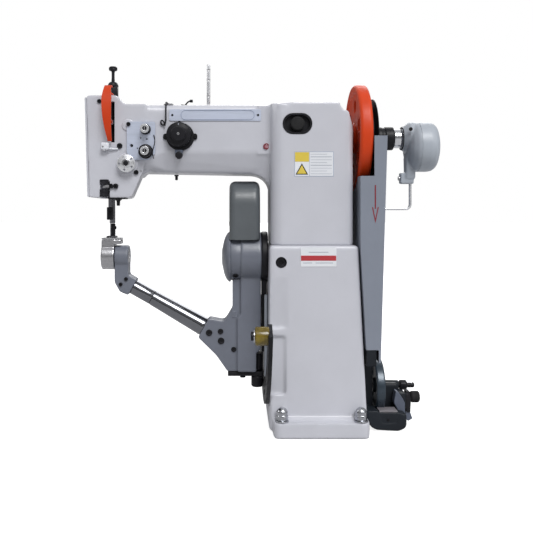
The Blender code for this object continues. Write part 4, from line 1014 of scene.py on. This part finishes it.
def needle_parts():
    """Needle bar, clamp, needle, presser bar and foot."""
    n = span("needle_bar")
    centre = (NEEDLE.x, NEEDLE.y, 0)
    bar = [(0, n.z1), (3.2, n.z1), (3.8, n.z1 - 0.8), (3.8, 402), (0, 402)]
    show(turned("needle_bar_rod", bar, "Z", centre, 56, 0.3), "chrome", "needle_bar", finish="dark_steel")
    clamp = block("needle_clamp", (n.x0, n.x1 - 0.5), (n.y0 + 1.5, n.y1), (n.z0, 403), 1.4)
    show(clamp, "steel", body="needle_bar", finish="black_oxide")
    slotted_screw("needle_clamp_screw", (NEEDLE.x, n.y0 + 1.6, 392), FRONT, 3.0, 1.5, "black_oxide",
                  body="needle_bar")
    needle = [(0, 379), (1.2, 379), (1.2, 372), (0.9, 368), (0.9, 338), (0.6, 335), (0.15, NEEDLE.z0),
              (0, NEEDLE.z0)]
    show(turned("needle_pin", needle, "Z", centre, 28, 0.1), "chrome", "needle")
    p = span("presser_bar")
    show(rod("presser_bar_rod", 4, p.z0, p.z1, "Z", (p.x, p.y, 0), 56, 0.5), "chrome", "presser_bar",
         finish="dark_steel")
    f = span("presser_foot")
    sole = prism("foot_sole", [rounded([(f.x0, f.y0 + 2, 2), (f.x0 + 3.3, f.y0, 2), (-390.6, f.y0, 1),
                                        (-390.6, 3, 0), (-385.4, 3, 0), (-385.4, f.y0, 1),
                                        (f.x1 - 3, f.y0, 2), (f.x1, f.y0 + 3, 2), (f.x1, f.y1, 2),
                                        (f.x0, f.y1, 2)], 4)], "XY", (f.z0, f.z0 + 3.2), 0.5)
    show(sole, "chrome", "presser_foot", finish="dark_steel")
    show(block("foot_neck", (-389, -381), (5.8, 15), (f.z0 + 3, f.z1), 1.2), "steel", body="presser_bar",
         finish="black_oxide")
    slotted_screw("foot_screw", (-381.2, 10.5, 364), RIGHT, 3.2, 2.4, "black_oxide", body="presser_bar")


def knuckle():
    """Grey knuckle that holds the hook head on the end of the horn."""
    k = span("horn_knuckle")
    root, rotation, length = HORN.root, HORN.rotation, HORN.length
    face = root + HORN.along * length
    upper, lower = face + HORN.across * 16.5, face - HORN.across * 16.5
    corners = [(k.x0, SWING_Z, 0), (k.x0, 262, 12), (-368, 244, 8), (lower.x, lower.z, 2),
               (upper.x, upper.z, 2), (-352.4, 276, 5), (-352.4, SWING_Z, 0)]
    solids = [prism("knuckle", [rounded(corners)], "XZ", (-16.6, 16.6), 2.5),
              rod("eye", 21.8, k.x0 + 0.2, -352.4, "X", SWING_AXIS, 72, 0.5)]
    body = cast("horn_knuckle_cast", solids, 1.3, 3)
    carve(body, rod("bore", 12.3, -390, -340, "X", SWING_AXIS, 48, 0),
          rod("way", 6.4, -30, 30, rotation, face, 32, 0))
    show(body, "grey_paint", "horn_knuckle")
    socket_screw("knuckle_screw_0", (-356, -16.4, 268), FRONT, 3.6, 2.6, "swing_arm")
    socket_screw("knuckle_screw_1", (-366, -16.4, 258), FRONT, 3.6, 2.6, "swing_arm")


def hook_parts():
    """Hook head, throat plate, hook, bobbin case and its latch."""
    h = span("hook_head")
    neck = h.x0 + 24.6
    centre = SWING_AXIS
    solids = [rod("drum", 23.9, h.x0, neck, "X", centre, 72, 0.6),
              block("shoulder", (h.x0 + 0.2, neck - 0.1), (-16, 16), (SWING_Z, h.z1), 1),
              block("seat", (h.x0 + 0.2, -366.2), (-15.4, 15.4), (333, h.z1 - 0.1), 1),
              rod("spigot", 11.9, neck - 1, -352, "X", centre, 56, 0.4)]
    head = cast("hook_head_cast", solids, 1.2, 2)
    carve(head, rod("race", 20.4, -410, -386, "X", centre, 64, 0),
          rod("shaft", 4.6, -390, -340, "X", centre, 32, 0),
          rod("needle_way", 3, SWING_Z, 350, "Z", (NEEDLE.x, NEEDLE.y, 0), 32, 0))
    show(head, "steel", "hook_head")
    t = span("throat_plate")
    hole = arc((NEEDLE.x, NEEDLE.y), 1.8, 0, 345, 23)
    slot = rectangle((-384, -374), (-6, 2), 1)
    plate = prism("throat_plate_top", [rectangle((t.x0, t.x1), (t.y0, t.y1), 3), hole, slot], "XY",
                  (t.z0, t.z1 - 0.1), 0.35)
    show(plate, "chrome", "throat_plate")
    for index, y in enumerate((-11, 11)):
        slotted_screw(f"throat_screw_{index}", (-370.5, y, t.z1 - 0.7), UP, 2.2, 0.7, "steel", 40,
                      "hook_head")
    profile = [(0, -352.5), (4.2, -352.5), (4.2, -387), (19.6, -387), (19.6, -400), (16.2, -400),
               (16.2, -391), (0, -391)]
    hook = turned("rotary_hook_cup", profile, "X", centre, 72, 0.4)
    carve(hook, block("hook_gap", (-401, -392), (-3, 24), (SWING_Z + 11, SWING_Z + 21), 0))
    show(hook, "steel", "rotary_hook")
    case = [(0, -391.4), (15.6, -391.4), (15.6, -401.3), (15.2, -401.5), (14.4, -401.5), (14.4, -392.6),
            (0, -392.6)]
    show(turned("bobbin_case_cup", case, "X", centre, 72, 0.2), "chrome", "bobbin_case")
    latch = prism("bobbin_case_latch", [rectangle((-3, 3), (SWING_Z - 14.2, SWING_Z + 14.2), 1)], "YZ",
                  (-402.4, -401.3), 0.3)
    show(latch, "steel", body="hook_head")


# ----------------------------------------------------------------- swing arm

def horn_geometry():
    """Where the horn starts, which way it runs, its length and its cone's, as in the CAD."""
    angle = math.radians(29.5)
    along = Vector((-math.cos(angle), 0, math.sin(angle)))
    across = Vector((math.sin(angle), 0, math.cos(angle)))
    return SimpleNamespace(root=Vector((-210.8, 0, 176.4)), along=along, across=across, length=153.5,
                           cone=112.0, rotation=along.to_track_quat("Z", "Y").to_matrix().to_4x4())


HORN = horn_geometry()


def swing_arm():
    """Grey casting: a thick leg, a thinner web to the horn's seat, and the hub."""
    s = span("swing_arm_casting")
    seat_top, seat_bottom = HORN.root + HORN.across * 20, HORN.root - HORN.across * 20
    web = [(-139, 296, 0), (-139, 268, 0), (-156.5, 268, 2), (-156.5, 213, 14), (-171, 188.5, 9),
           (seat_top.x, seat_top.z, 3), (seat_bottom.x, seat_bottom.z, 3), (-187, 126, 40),
           (-166, s.z0 + 1, 4), (-125, s.z0 + 1, 3), (-125, 296, 0)]
    leg = [(-140.6, 304, 0), (-140.6, 204, 2), (-147, 196, 4), (-147, s.z0, 4), (-112, s.z0, 3),
           (-112, 131, 3), (-103.2, 137, 3), (-103.2, 304, 0)]
    solids = [prism("web", [rounded(web)], "XZ", (-21.5, 21.5), 3),
              prism("leg", [rounded(leg)], "XZ", (-27.8, 27.8), 4),
              rod("hub", 47, -140.8, s.x1, "X", SWING_AXIS, 96, 1.5)]
    arm = cast("swing_arm_cast", solids, 1.9, 3)
    carve(arm, rod("bore", 24.3, -170, -90, "X", SWING_AXIS, 48, 0),
          rod("socket", 6.4, -40, 20, HORN.rotation, HORN.root, 32, 0))
    show(arm, "grey_paint", "swing_arm_casting")
    for index, (x, z, radius) in enumerate([(-200, 168, 6.0), (-178.5, 170.5, 5.2), (-177.5, 153, 6.2),
                                            (-154, 137, 4.8)]):
        depth = -21.3 if x < -150 else -27.6
        ring = [(radius, depth + 0.2), (radius + 1.0, depth + 0.2), (radius + 1.0, depth - 0.5),
                (radius, depth - 0.5)]
        show(turned(f"arm_bolt_ring_{index}", list(reversed(ring)), "Y", (x, 0, z), 48, 0.2), "grey_paint",
             body="swing_arm")
        socket_screw(f"arm_bolt_{index}", (x, depth + 0.1, z), FRONT, radius, 2.2, "swing_arm")
        socket_screw(f"arm_bolt_rear_{index}", (x, -depth - 0.1, z), BACK, radius, 2.2, "swing_arm")
    pad = block("arm_pad", (-157.5, -148), (-22.6, -18), (196, 209), 1.6)
    show(pad, "grey_paint", body="swing_arm")


def bearing_cap():
    """Collar with its clamping screw, and the rounded cap on the end of the hub."""
    c = span("bearing_cap")
    axis = SWING_AXIS
    collar = [(30, c.x1 + 1), (44.5, c.x1 + 1), (44.5, -159.6), (30, -159.6)]
    show(turned("bearing_collar", collar, "X", axis, 96, 1.0), "grey_paint", body="swing_arm")
    turns = [math.radians(degrees) for degrees in range(0, 70, 6)]
    bulge = [(47.6 * math.cos(turn), -160.4 - 15.6 * math.sin(turn)) for turn in turns]
    cap = [(0, -150), (30, -150), (30, -159.6), (46.8, -159.6)] + bulge + [(14, c.x0), (0, c.x0)]
    show(turned("bearing_cap_round", cap, "X", axis, 96, 0), "grey_paint", "bearing_cap")
    socket_screw("collar_screw", (-150.5, -29.6, SWING_Z - 33), (0, -0.67, -0.74), 5.4, 2.0, "swing_arm")


def dome_cover():
    """Arched grey cover saddled on the hub."""
    s = span("dome_cover")
    half = (s.y1 - s.y0) / 2
    centre_z = s.z1 - half
    slices = []
    for step in range(7):
        turn = math.radians(15 * step)
        inset, depth = 10.5 * (1 - math.cos(turn)), 10.5 * (1 - math.sin(turn))
        outline = arc((0, centre_z), half - inset, 0, 180, 48) + [(inset - half, s.z0),
                                                                  (half - inset, s.z0)]
        slices.append(prism("slice", [outline], "YZ", (s.x0 + depth, s.x1 - depth), 0))
    shell = cast("dome_cover_shell", slices, 1.5, 5)
    carve(shell, rod("saddle", 48.6, -180, -90, "X", SWING_AXIS, 72, 0))
    show(shell, "dome_grey_paint", "dome_cover")
    for k, y in enumerate((-30, 30)):
        socket_screw(f"dome_screw_{k}", (s.x0 + 0.8, y, 372), LEFT, 4.2, 1.2, "swing_arm")


def trunnion():
    """Black flange, skirt and strip between the column and the swing arm."""
    s = span("swing_trunnion")
    axis = SWING_AXIS
    profile = [(22, s.x1), (22, -90.4), (46.5, -90.4), (48, -92), (48, -100.6), (46.6, -102), (24, -102),
               (24, s.x0), (10, s.x0), (10, s.x1)]
    body = turned("trunnion_flange", profile, "X", axis, 96, 0.8)
    show(body, "black_oxide", "swing_trunnion")
    show(block("trunnion_strip", (-101.5, -97.3), (-20, 20), (132, 241), 0.8), "black_oxide")
    show(block("trunnion_skirt", (-101.5, -92), (-22, 22), (240.2, 275), 1.0), "black_oxide")


def horn():
    """Polished cone and tube with a fine ring where they meet."""
    first, last = HORN.cone, HORN.length - 0.3
    cone = [(14.25, first - 0.2), (17.6, 6.5), (17.9, 4), (17.9, 0.3), (8, 0.3), (8, first - 0.2)]
    show(turned("horn_cone_polished", cone, HORN.rotation, HORN.root, 96, 0.5), "chrome", "horn_cone",
         finish="horn_chrome")
    tube = [(8, last), (14, last), (14, first + 0.6), (8, first + 0.6)]
    show(turned("horn_tube_polished", tube, HORN.rotation, HORN.root, 96, 0.5), "chrome", "horn_tube",
         finish="horn_chrome")
    ring = [(8, first + 0.6), (13.4, first + 0.6), (13.4, first - 0.2), (8, first - 0.2)]
    show(turned("horn_groove", ring, HORN.rotation, HORN.root, 96, 0), "chrome", body="swing_arm",
         finish="black_oxide")


def swing_lock():
    """Clamp plate, jaw and knurled knob under the arm."""
    s = span("lock_bracket")
    plate = prism("lock_plate", [rectangle((s.x0, s.x1 - 1), (s.y0, s.y1), 3)], "XY", (86.8, 94.8), 1.2)
    jaw = block("lock_jaw", (-110.8, s.x1 - 1.5), (0.4, 18), (s.z0, s.z1), 1.4)
    carve(plate, rod("bore", 3.4, 80, 100, "Z", (-110, -12, 0), 32, 0))
    show(plate, "black_oxide", "lock_bracket")
    show(jaw, "black_oxide", body="swing_arm")
    socket_screw("lock_under_screw", (-137, -6, 86.9), DOWN, 5.2, 5.4, "swing_arm")
    post = [(0, 127), (6.2, 127), (6.2, 97), (0, 97)]
    show(turned("lock_post", post, "Z", (-107, -9, 0), 40, 0.8), "black_oxide", body="swing_arm")
    k = span("lock_knob")
    profile = [(0, k.z1), (3.1, k.z1), (3.1, 86.4), (9.6, 86.4), (11, 84.6), (11, 68.4), (9.2, k.z0),
               (4, k.z0), (3.4, k.z0 + 1.4), (0, k.z0 + 1.4)]
    knob = turned("lock_knob_knurled", profile, "Z", (k.x, k.y, 0), 72, 0.5, knurl=(69.5, 83.4, 0.6))
    show(knob, "black_oxide", "lock_knob")


# ------------------------------------------------------------------ main shaft

def handwheel():
    """Orange wheel with a flat rim, a dished web and six holes."""
    s = span("handwheel")
    centre = SHAFT_AXIS
    x0, x1, radius = s.x0, s.x1, (s.z1 - s.z0) / 2
    profile = [(radius - 3, x1), (radius - 0.2, x1 - 3), (radius, x1 - 6), (radius, x0 + 6),
               (radius - 0.4, x0 + 3.4), (radius - 3, x0 + 0.6), (radius - 8, x0), (88, x0 + 0.4),
               (83, x0 + 4), (30, x0 + 4), (27, x0), (8.5, x0), (8.5, x1), (26, x1), (29, x1 - 7),
               (84, x1 - 7), (87, x1)]
    wheel = turned("handwheel_painted", profile, "X", centre, 160, 1.4)
    holes = []
    for k in range(6):
        angle = math.radians(60 * k + 102)
        y, z = 60 * math.cos(angle), SHAFT.z + 60 * math.sin(angle)
        holes.append(turned("hole", [(0, x1 + 5), (14, x1 - 2), (12, x1 - 9), (12, x0 + 6), (14, x0 + 1),
                                     (0, x0 - 5)], "X", (0, y, z), 48, 0))
    carve(wheel, *holes)
    show(wheel, "orange_paint", "handwheel")
    for k in range(2):
        angle = math.radians(90 * k + 60)
        place = (x0 + 2, 17 * math.cos(angle), SHAFT.z + 17 * math.sin(angle))
        socket_screw(f"wheel_screw_{k}", place, LEFT, 4.0, 2.0, "main_shaft")
    p = span("belt_pulley")
    radius = (p.z1 - p.z0) / 2
    groove = [(radius, p.x1 - 1), (radius, p.x1 - 2.6), (60, p.x1 - 7), (60, p.x0 + 7),
              (radius, p.x0 + 2.6), (radius, p.x0), (8.5, p.x0), (8.5, p.x1 - 1), (20, p.x1 - 1),
              (22, p.x1 - 4), (58, p.x1 - 4), (60, p.x1 - 1)]
    show(turned("belt_pulley_grooved", groove, "X", centre, 128, 0.7), "black_oxide", "belt_pulley")


def coupling():
    """Black stepped hub and the chrome collar before the sensor."""
    s = span("shaft_coupling")
    centre = SHAFT_AXIS
    hub = [(6.4, 147.4), (21.2, 147.4), (22, 146), (22, 132), (20.6, 131), (20.6, 126), (21.6, 125),
           (21.6, s.x0), (6.4, s.x0)]
    show(turned("coupling_hub", hub, "X", centre, 96, 0.6), "black_oxide", "shaft_coupling")
    collar = [(6.4, s.x1), (16.6, s.x1), (16.6, s.x1 - 1.4), (18, s.x1 - 2), (18, 149), (17, 147.6),
              (6.4, 147.6)]
    show(turned("coupling_collar", collar, "X", centre, 96, 0.5), "chrome", body="main_shaft")
    for k in range(2):
        angle = math.radians(-110 + 100 * k)
        direction = (0, math.cos(angle), math.sin(angle))
        place = (139, 21.6 * direction[1], SHAFT.z + 21.6 * direction[2])
        socket_screw(f"coupling_screw_{k}", place, direction, 3.4, 0.9, "main_shaft")


def synchroniser():
    """Soft grey sensor housing with its seam, breather, lug and the holding rod."""
    s = span("sync_housing")
    drum_z, radius = s.z1 - 47, 47
    drum = [(0, s.x1), (30, s.x1), (40, s.x1 - 3.6), (45.4, s.x1 - 10), (radius, s.x1 - 19), (radius, 192),
            (45, 187), (39, 180), (31, 175), (20, 171.5), (0, 171)]
    neck = [(0, 190), (31, 188), (31, 177), (25, 169), (21, 163.6), (0, 163.6)]
    lug = [(-14, 500), (-10, 456), (10, 456), (14, 500)]
    solids = [turned("drum", drum, "X", (0, 0, drum_z), 96, 1.5),
              turned("neck", neck, "X", SHAFT_AXIS, 72, 1), prism("lug", [lug], "YZ", (171, 189), 3),
              block("clamp", (s.x0, 186.6), (-8, 8), (s.z0, 468), 2)]
    housing = cast("sync_housing_cast", solids, 1.6, 3)
    carve(housing, rod("bore", 6.6, 150, 196, "X", SHAFT_AXIS, 40, 0),
          turned("seam", [(60, 193.6), (60, 192.9), (46.0, 192.9), (46.0, 193.6)], "X", (0, 0, drum_z), 96,
                 0), rod("breather", 3.6, -60, -36, "Y", (173.5, 0, 547), 32, 0))
    show(housing, "light_grey_paint", "sync_housing")
    ring = [(19.8, 165.6), (22, 165.6), (22, 163.4), (19.8, 163.4)]
    show(turned("sync_seal", ring, "X", SHAFT_AXIS, 72, 0.5), "black_rubber")
    plug = [(0, -34.5), (3.5, -34.5), (3.5, -36.5), (0, -36.5)]
    show(turned("sync_plug", plug, "Y", (173.5, 0, 547), 32, 0.3), "black_rubber")
    socket_screw("sync_clamp_screw", (s.x0 + 0.4, 0, 457.5), LEFT, 4.2, 3.2, slot="steel")
    for k in range(3):
        angle = math.radians(120 * k + 45)
        place = (s.x1 - 1.0, 26 * math.cos(angle), drum_z + 26 * math.sin(angle))
        socket_screw(f"sync_screw_{k}", place, RIGHT, 3.2, 0.9, slot="steel")
    r = span("sync_rod")
    middle = 181
    bend = [(a, 0, b) for a, b in arc((middle - 8, 408), 8, 0, -90, 10)]
    rod_wire = wire("sync_rod_bent", [(middle, 0, r.z1), *bend, (r.x0, 0, 400)], 2.7, False, 8)
    show(rod_wire, "steel", "sync_rod", finish="satin_chrome")


# --------------------------------------------------------------------- winder

def winder_base():
    """Fixed parts of the bobbin winder: bowl, barrel, ear, leaning bracket, step, and a black plate of
    painted shade behind the wheel.
    """
    b = span("winder_base")
    w = span("winder_wheel")
    centre = (0, w.y, w.z)
    bowl_outline = rounded([(b.x0, 36, 3), (b.x0 + 1, 3, 22), (142, 0, 14), (b.x1 - 2, 6, 10),
                            (b.x1 - 2, 30, 3), (146, 32, 3), (140, 14, 6), (110, 12, 10), (106, 36, 2)])
    bowl = prism("bowl", [bowl_outline], "XZ", (b.y0 + 1, b.y1 - 2), 3)
    apron = prism("apron", [rounded([(103, 8, 6), (148, 6, 6), (148, 33, 3), (103, 33, 3)])], "XZ",
                  (b.y0 + 2, -50), 2)
    body = block("body", (124.5, 153), (-26, 8), (4, 74.5), 5)
    shell = cast("winder_base_cast", [bowl, apron], 1.2, 5)
    show(shell, "winder_paint", "winder_base", finish="winder_black")
    body = cast("winder_body", [body, rod("boss", 9, 124.5, 156, "X", centre, 48, 1)], 1.1, 4)
    carve(body, rod("bore", 5.5, 110, 170, "X", centre, 32, 0))
    show(body, "winder_paint", finish="winder_black")
    outline = rounded([(143, 67, 2), (148, 64, 3), (155, 53, 4), (159.6, 44, 3), (159.6, 4, 2), (142, 4, 2),
                       (149, 26, 5), (139, 45, 3)])
    ear = block("winder_ear", (150, 161.5), (-48.6, -13), (36, 62), 1.6)
    show(ear, "winder_paint", finish="winder_black")
    arm = cast("winder_arm", [prism("arm", [outline], "XZ", (-50, -30), 1.5)], 1.0, 3)
    show(arm, "winder_paint", finish="bracket_paint")
    post = block("winder_top_block", (80.8, 98), (-98.5, -64), (121.5, 150.2), 1.2)
    show(post, "winder_paint", finish="winder_black")
    # A black plate behind the wheel stands for the shade between the belt cover and the wheel: painted
    # shade.
    plate = prism("winder_shade_plate", [rectangle((84.9, 103.4), (12, 166), 3)], "XZ", (-30, -24), 0.8)
    show(plate, "winder_paint", finish="winder_black")
    step = block("winder_step", (108, 141), (b.y0 + 3, -46), (33, 36.4), 1.0)
    show(step, "winder_paint", finish="step_paint")
    slotted_screw("winder_apron_screw", (124, b.y0 + 1.8, 20), FRONT, 2.6, 1.6, "black_oxide")


def winder_wheel():
    """Four-holed wheel with its tyre, spindle, nut and bobbin clip."""
    w = span("winder_wheel")
    centre = (0, w.y, w.z)
    x0, x1, radius = w.x0, w.x1, (w.z1 - w.z0) / 2
    rim = [(radius - 5, x1), (radius - 5, x0 + 1), (40, x0 + 1.4), (37, x0 + 6), (14, x0 + 6), (12, x0 + 1),
           (5.4, x0 + 1), (5.4, x1 - 1), (14, x1 - 1), (17, x1 - 5), (37, x1 - 5), (41, x1)]
    wheel = turned("winder_wheel_cast", rim, "X", centre, 128, 1.0)
    holes = []
    for k in range(4):
        angle = math.radians(90 * k + 45)
        y, z = w.y + 26 * math.cos(angle), w.z + 26 * math.sin(angle)
        holes.append(rod("hole", 6.5, x0 - 5, x1 + 5, "X", (0, y, z), 32, 0))
    carve(wheel, *holes)
    show(wheel, "winder_paint", "winder_wheel")
    tyre = [(radius - 1.2, x1 - 0.6), (radius, x1 - 3), (radius, x0 + 3), (radius - 1.2, x0 + 0.6),
            (radius - 4.9, x0 + 0.6), (radius - 4.9, x1 - 0.6)]
    show(turned("winder_tyre", tyre, "X", centre, 128, 0.8), "black_rubber", body="winder_spindle",
         finish="winder_gloss")
    p = span("winder_spindle")
    shaft = [(0, p.x1), (3.2, p.x1), (5, p.x1 - 1.8), (5, p.x0), (0, p.x0)]
    show(turned("winder_shaft", shaft, "X", centre, 48, 0.3), "black_oxide", "winder_spindle")
    show(hexagon_nut("winder_hexagon", 8.6, 158, 171, "X", centre), "black_oxide", body="winder_spindle")
    clip = [(centre[0] + 172, w.y - 3, w.z + 4.6), (178, w.y - 3.4, w.z + 5.4), (184, w.y - 3, w.z + 4.2)]
    show(wire("winder_bobbin_clip", clip, 0.7, True, 4), "steel", body="winder_spindle")


def winder_latch():
    """Lever with its thumb knob and tip."""
    t = span("winder_latch")
    lever = prism("winder_lever", [rounded([(163.4, t.z0 + 14, 2), (170.4, t.z0 + 14, 2), (171.4, 50, 3),
                                            (169, 65, 2), (162, 65, 2)])], "XZ", (-45.6, -30.4), 1.6)
    show(lever, "black_oxide", "winder_latch")
    thumb = [(0, t.x1), (8.2, t.x1), (10.5, t.x1 - 2.4), (10.5, 174), (8.4, 171.6), (4.8, 170.4),
             (4.8, 165), (0, 165)]
    knob = turned("winder_thumb", thumb, "X", (0, -38, 53), 72, 0.6, knurl=(175, t.x1 - 3, 0.4))
    show(knob, "black_rubber", body="winder_latch")
    tip = prism("winder_tip", [rounded([(162, 27, 1), (170, 27, 1), (174.5, 14.5, 1), (167, 10, 1),
                                        (162, 13, 1)])], "XZ", (-44, -32), 0.8)
    show(tip, "black_oxide", body="winder_latch", finish="bracket_paint")


def carried_over():
    """Finishes of the CAD pieces that stay as they are, most of them inside."""
    finishes = {"main_shaft": "steel", "lower_shaft": "steel", "horn_shaft": "steel", "bobbin": "steel",
                "presser_spring": "steel", "take_up_lever": "chrome", "timing_belt": "black_rubber"}
    for node, finish in finishes.items():
        mesh = frame["nodes"][node].data
        mesh.materials.clear()
        mesh.materials.append(MATERIALS[finish])


# ---------------------------------------------------------- floor, light, view

FLOOR_DROP = 0.0006
FLOOR_GLOW = 0.85
SKY = SimpleNamespace(low=0.05, high=0.6, dark=0.13, light=0.56)
KEY = SimpleNamespace(energy=2.1, angle=28, direction=(-0.22, 0.66, -0.72))
LAMPS = {"fill": ((2.2, -1.8, 1.5), 1.4, 9), "back": ((0.4, 2.6, 2.2), 2.0, 30),
         "left": ((-2.6, 0.2, 1.4), 1.2, 9)}
LAMP_TARGET = (-0.1, 0, 0.3)
CAMERA = SimpleNamespace(place=(-0.146, -1.330, 0.390), sensor=36, lens=47.28, shift=(0.0535, -0.0985))


def aim(direction):
    """Turn that points a lamp along a direction."""
    return Vector(direction).to_track_quat("-Z", "Y").to_euler()


def studio():
    """Pale floor, soft lights, surroundings that the camera sees as white, and the camera."""
    builder = bmesh.new()
    bmesh.ops.create_circle(builder, cap_ends=True, segments=128, radius=30)
    floor = new_object("floor", to_mesh("floor", builder))
    floor.location.z = -FLOOR_DROP
    pale = surface("floor_pale", (0.46, 0.46, 0.465), 0.8, spread=0.01, bump=0.02, grain=60, blotch=2)
    shader = pale.node_tree.nodes["Principled BSDF"]
    shader.inputs["Emission Color"].default_value = (1, 1, 1, 1)
    seen = pale.node_tree.nodes.new("ShaderNodeLightPath")
    glow = ramp(pale.node_tree, seen, "Is Camera Ray", 0, 1, 0, FLOOR_GLOW)
    link(pale.node_tree, glow, 0, shader, "Emission Strength")
    floor.data.materials.append(pale)
    world = bpy.data.worlds.new("studio")
    world.use_nodes = True
    tree = world.node_tree
    output = tree.nodes["World Output"]
    place = tree.nodes.new("ShaderNodeTexCoord")
    split = tree.nodes.new("ShaderNodeSeparateXYZ")
    link(tree, place, "Generated", split, "Vector")
    sky = new_node(tree, "ShaderNodeBackground", Strength=1.0)
    link(tree, ramp(tree, split, "Z", SKY.low, SKY.high, SKY.dark, SKY.light), 0, sky, "Color")
    white = new_node(tree, "ShaderNodeBackground", Color=(1, 1, 1, 1), Strength=1.0)
    rays = tree.nodes.new("ShaderNodeLightPath")
    choice = tree.nodes.new("ShaderNodeMixShader")
    link(tree, rays, "Is Camera Ray", choice, "Fac")
    tree.links.new(sky.outputs[0], choice.inputs[1])
    tree.links.new(white.outputs[0], choice.inputs[2])
    link(tree, choice, 0, output, "Surface")
    bpy.context.scene.world = world
    bpy.context.scene.view_settings.view_transform = "Standard"
    for name, (place, size, power) in LAMPS.items():
        light = bpy.data.lights.new(name, "AREA")
        light.shape = "DISK"
        light.size = size
        light.energy = power
        lamp = bpy.data.objects.new(name, light)
        lamp.location = place
        lamp.rotation_euler = aim(Vector(LAMP_TARGET) - Vector(place))
        bpy.context.scene.collection.objects.link(lamp)
    sun = bpy.data.lights.new("key", "SUN")
    sun.energy = KEY.energy
    sun.angle = math.radians(KEY.angle)
    lamp = bpy.data.objects.new("key", sun)
    lamp.rotation_euler = aim(KEY.direction)
    bpy.context.scene.collection.objects.link(lamp)
    camera = bpy.data.objects.new("camera", bpy.data.cameras.new("camera"))
    bpy.context.scene.collection.objects.link(camera)
    camera.location = CAMERA.place
    camera.rotation_euler = (math.radians(90), 0, 0)
    camera.data.sensor_width = CAMERA.sensor
    camera.data.lens = CAMERA.lens
    camera.data.shift_x, camera.data.shift_y = CAMERA.shift
    camera.data.clip_start = 0.05
    bpy.context.scene.camera = camera


for build in (
    upper_casting, base_casting, covers, foot_nuts, sector_and_stops, belt_cover, oil_window,
    plates, thread_post, tension_group, head_front, presser_tower, arm_front, dials, needle_parts,
    knuckle, hook_parts, swing_arm, bearing_cap, dome_cover, trunnion, horn, swing_lock, handwheel, coupling,
    synchroniser, winder_base, winder_wheel, winder_latch, carried_over, studio,
):
    build()
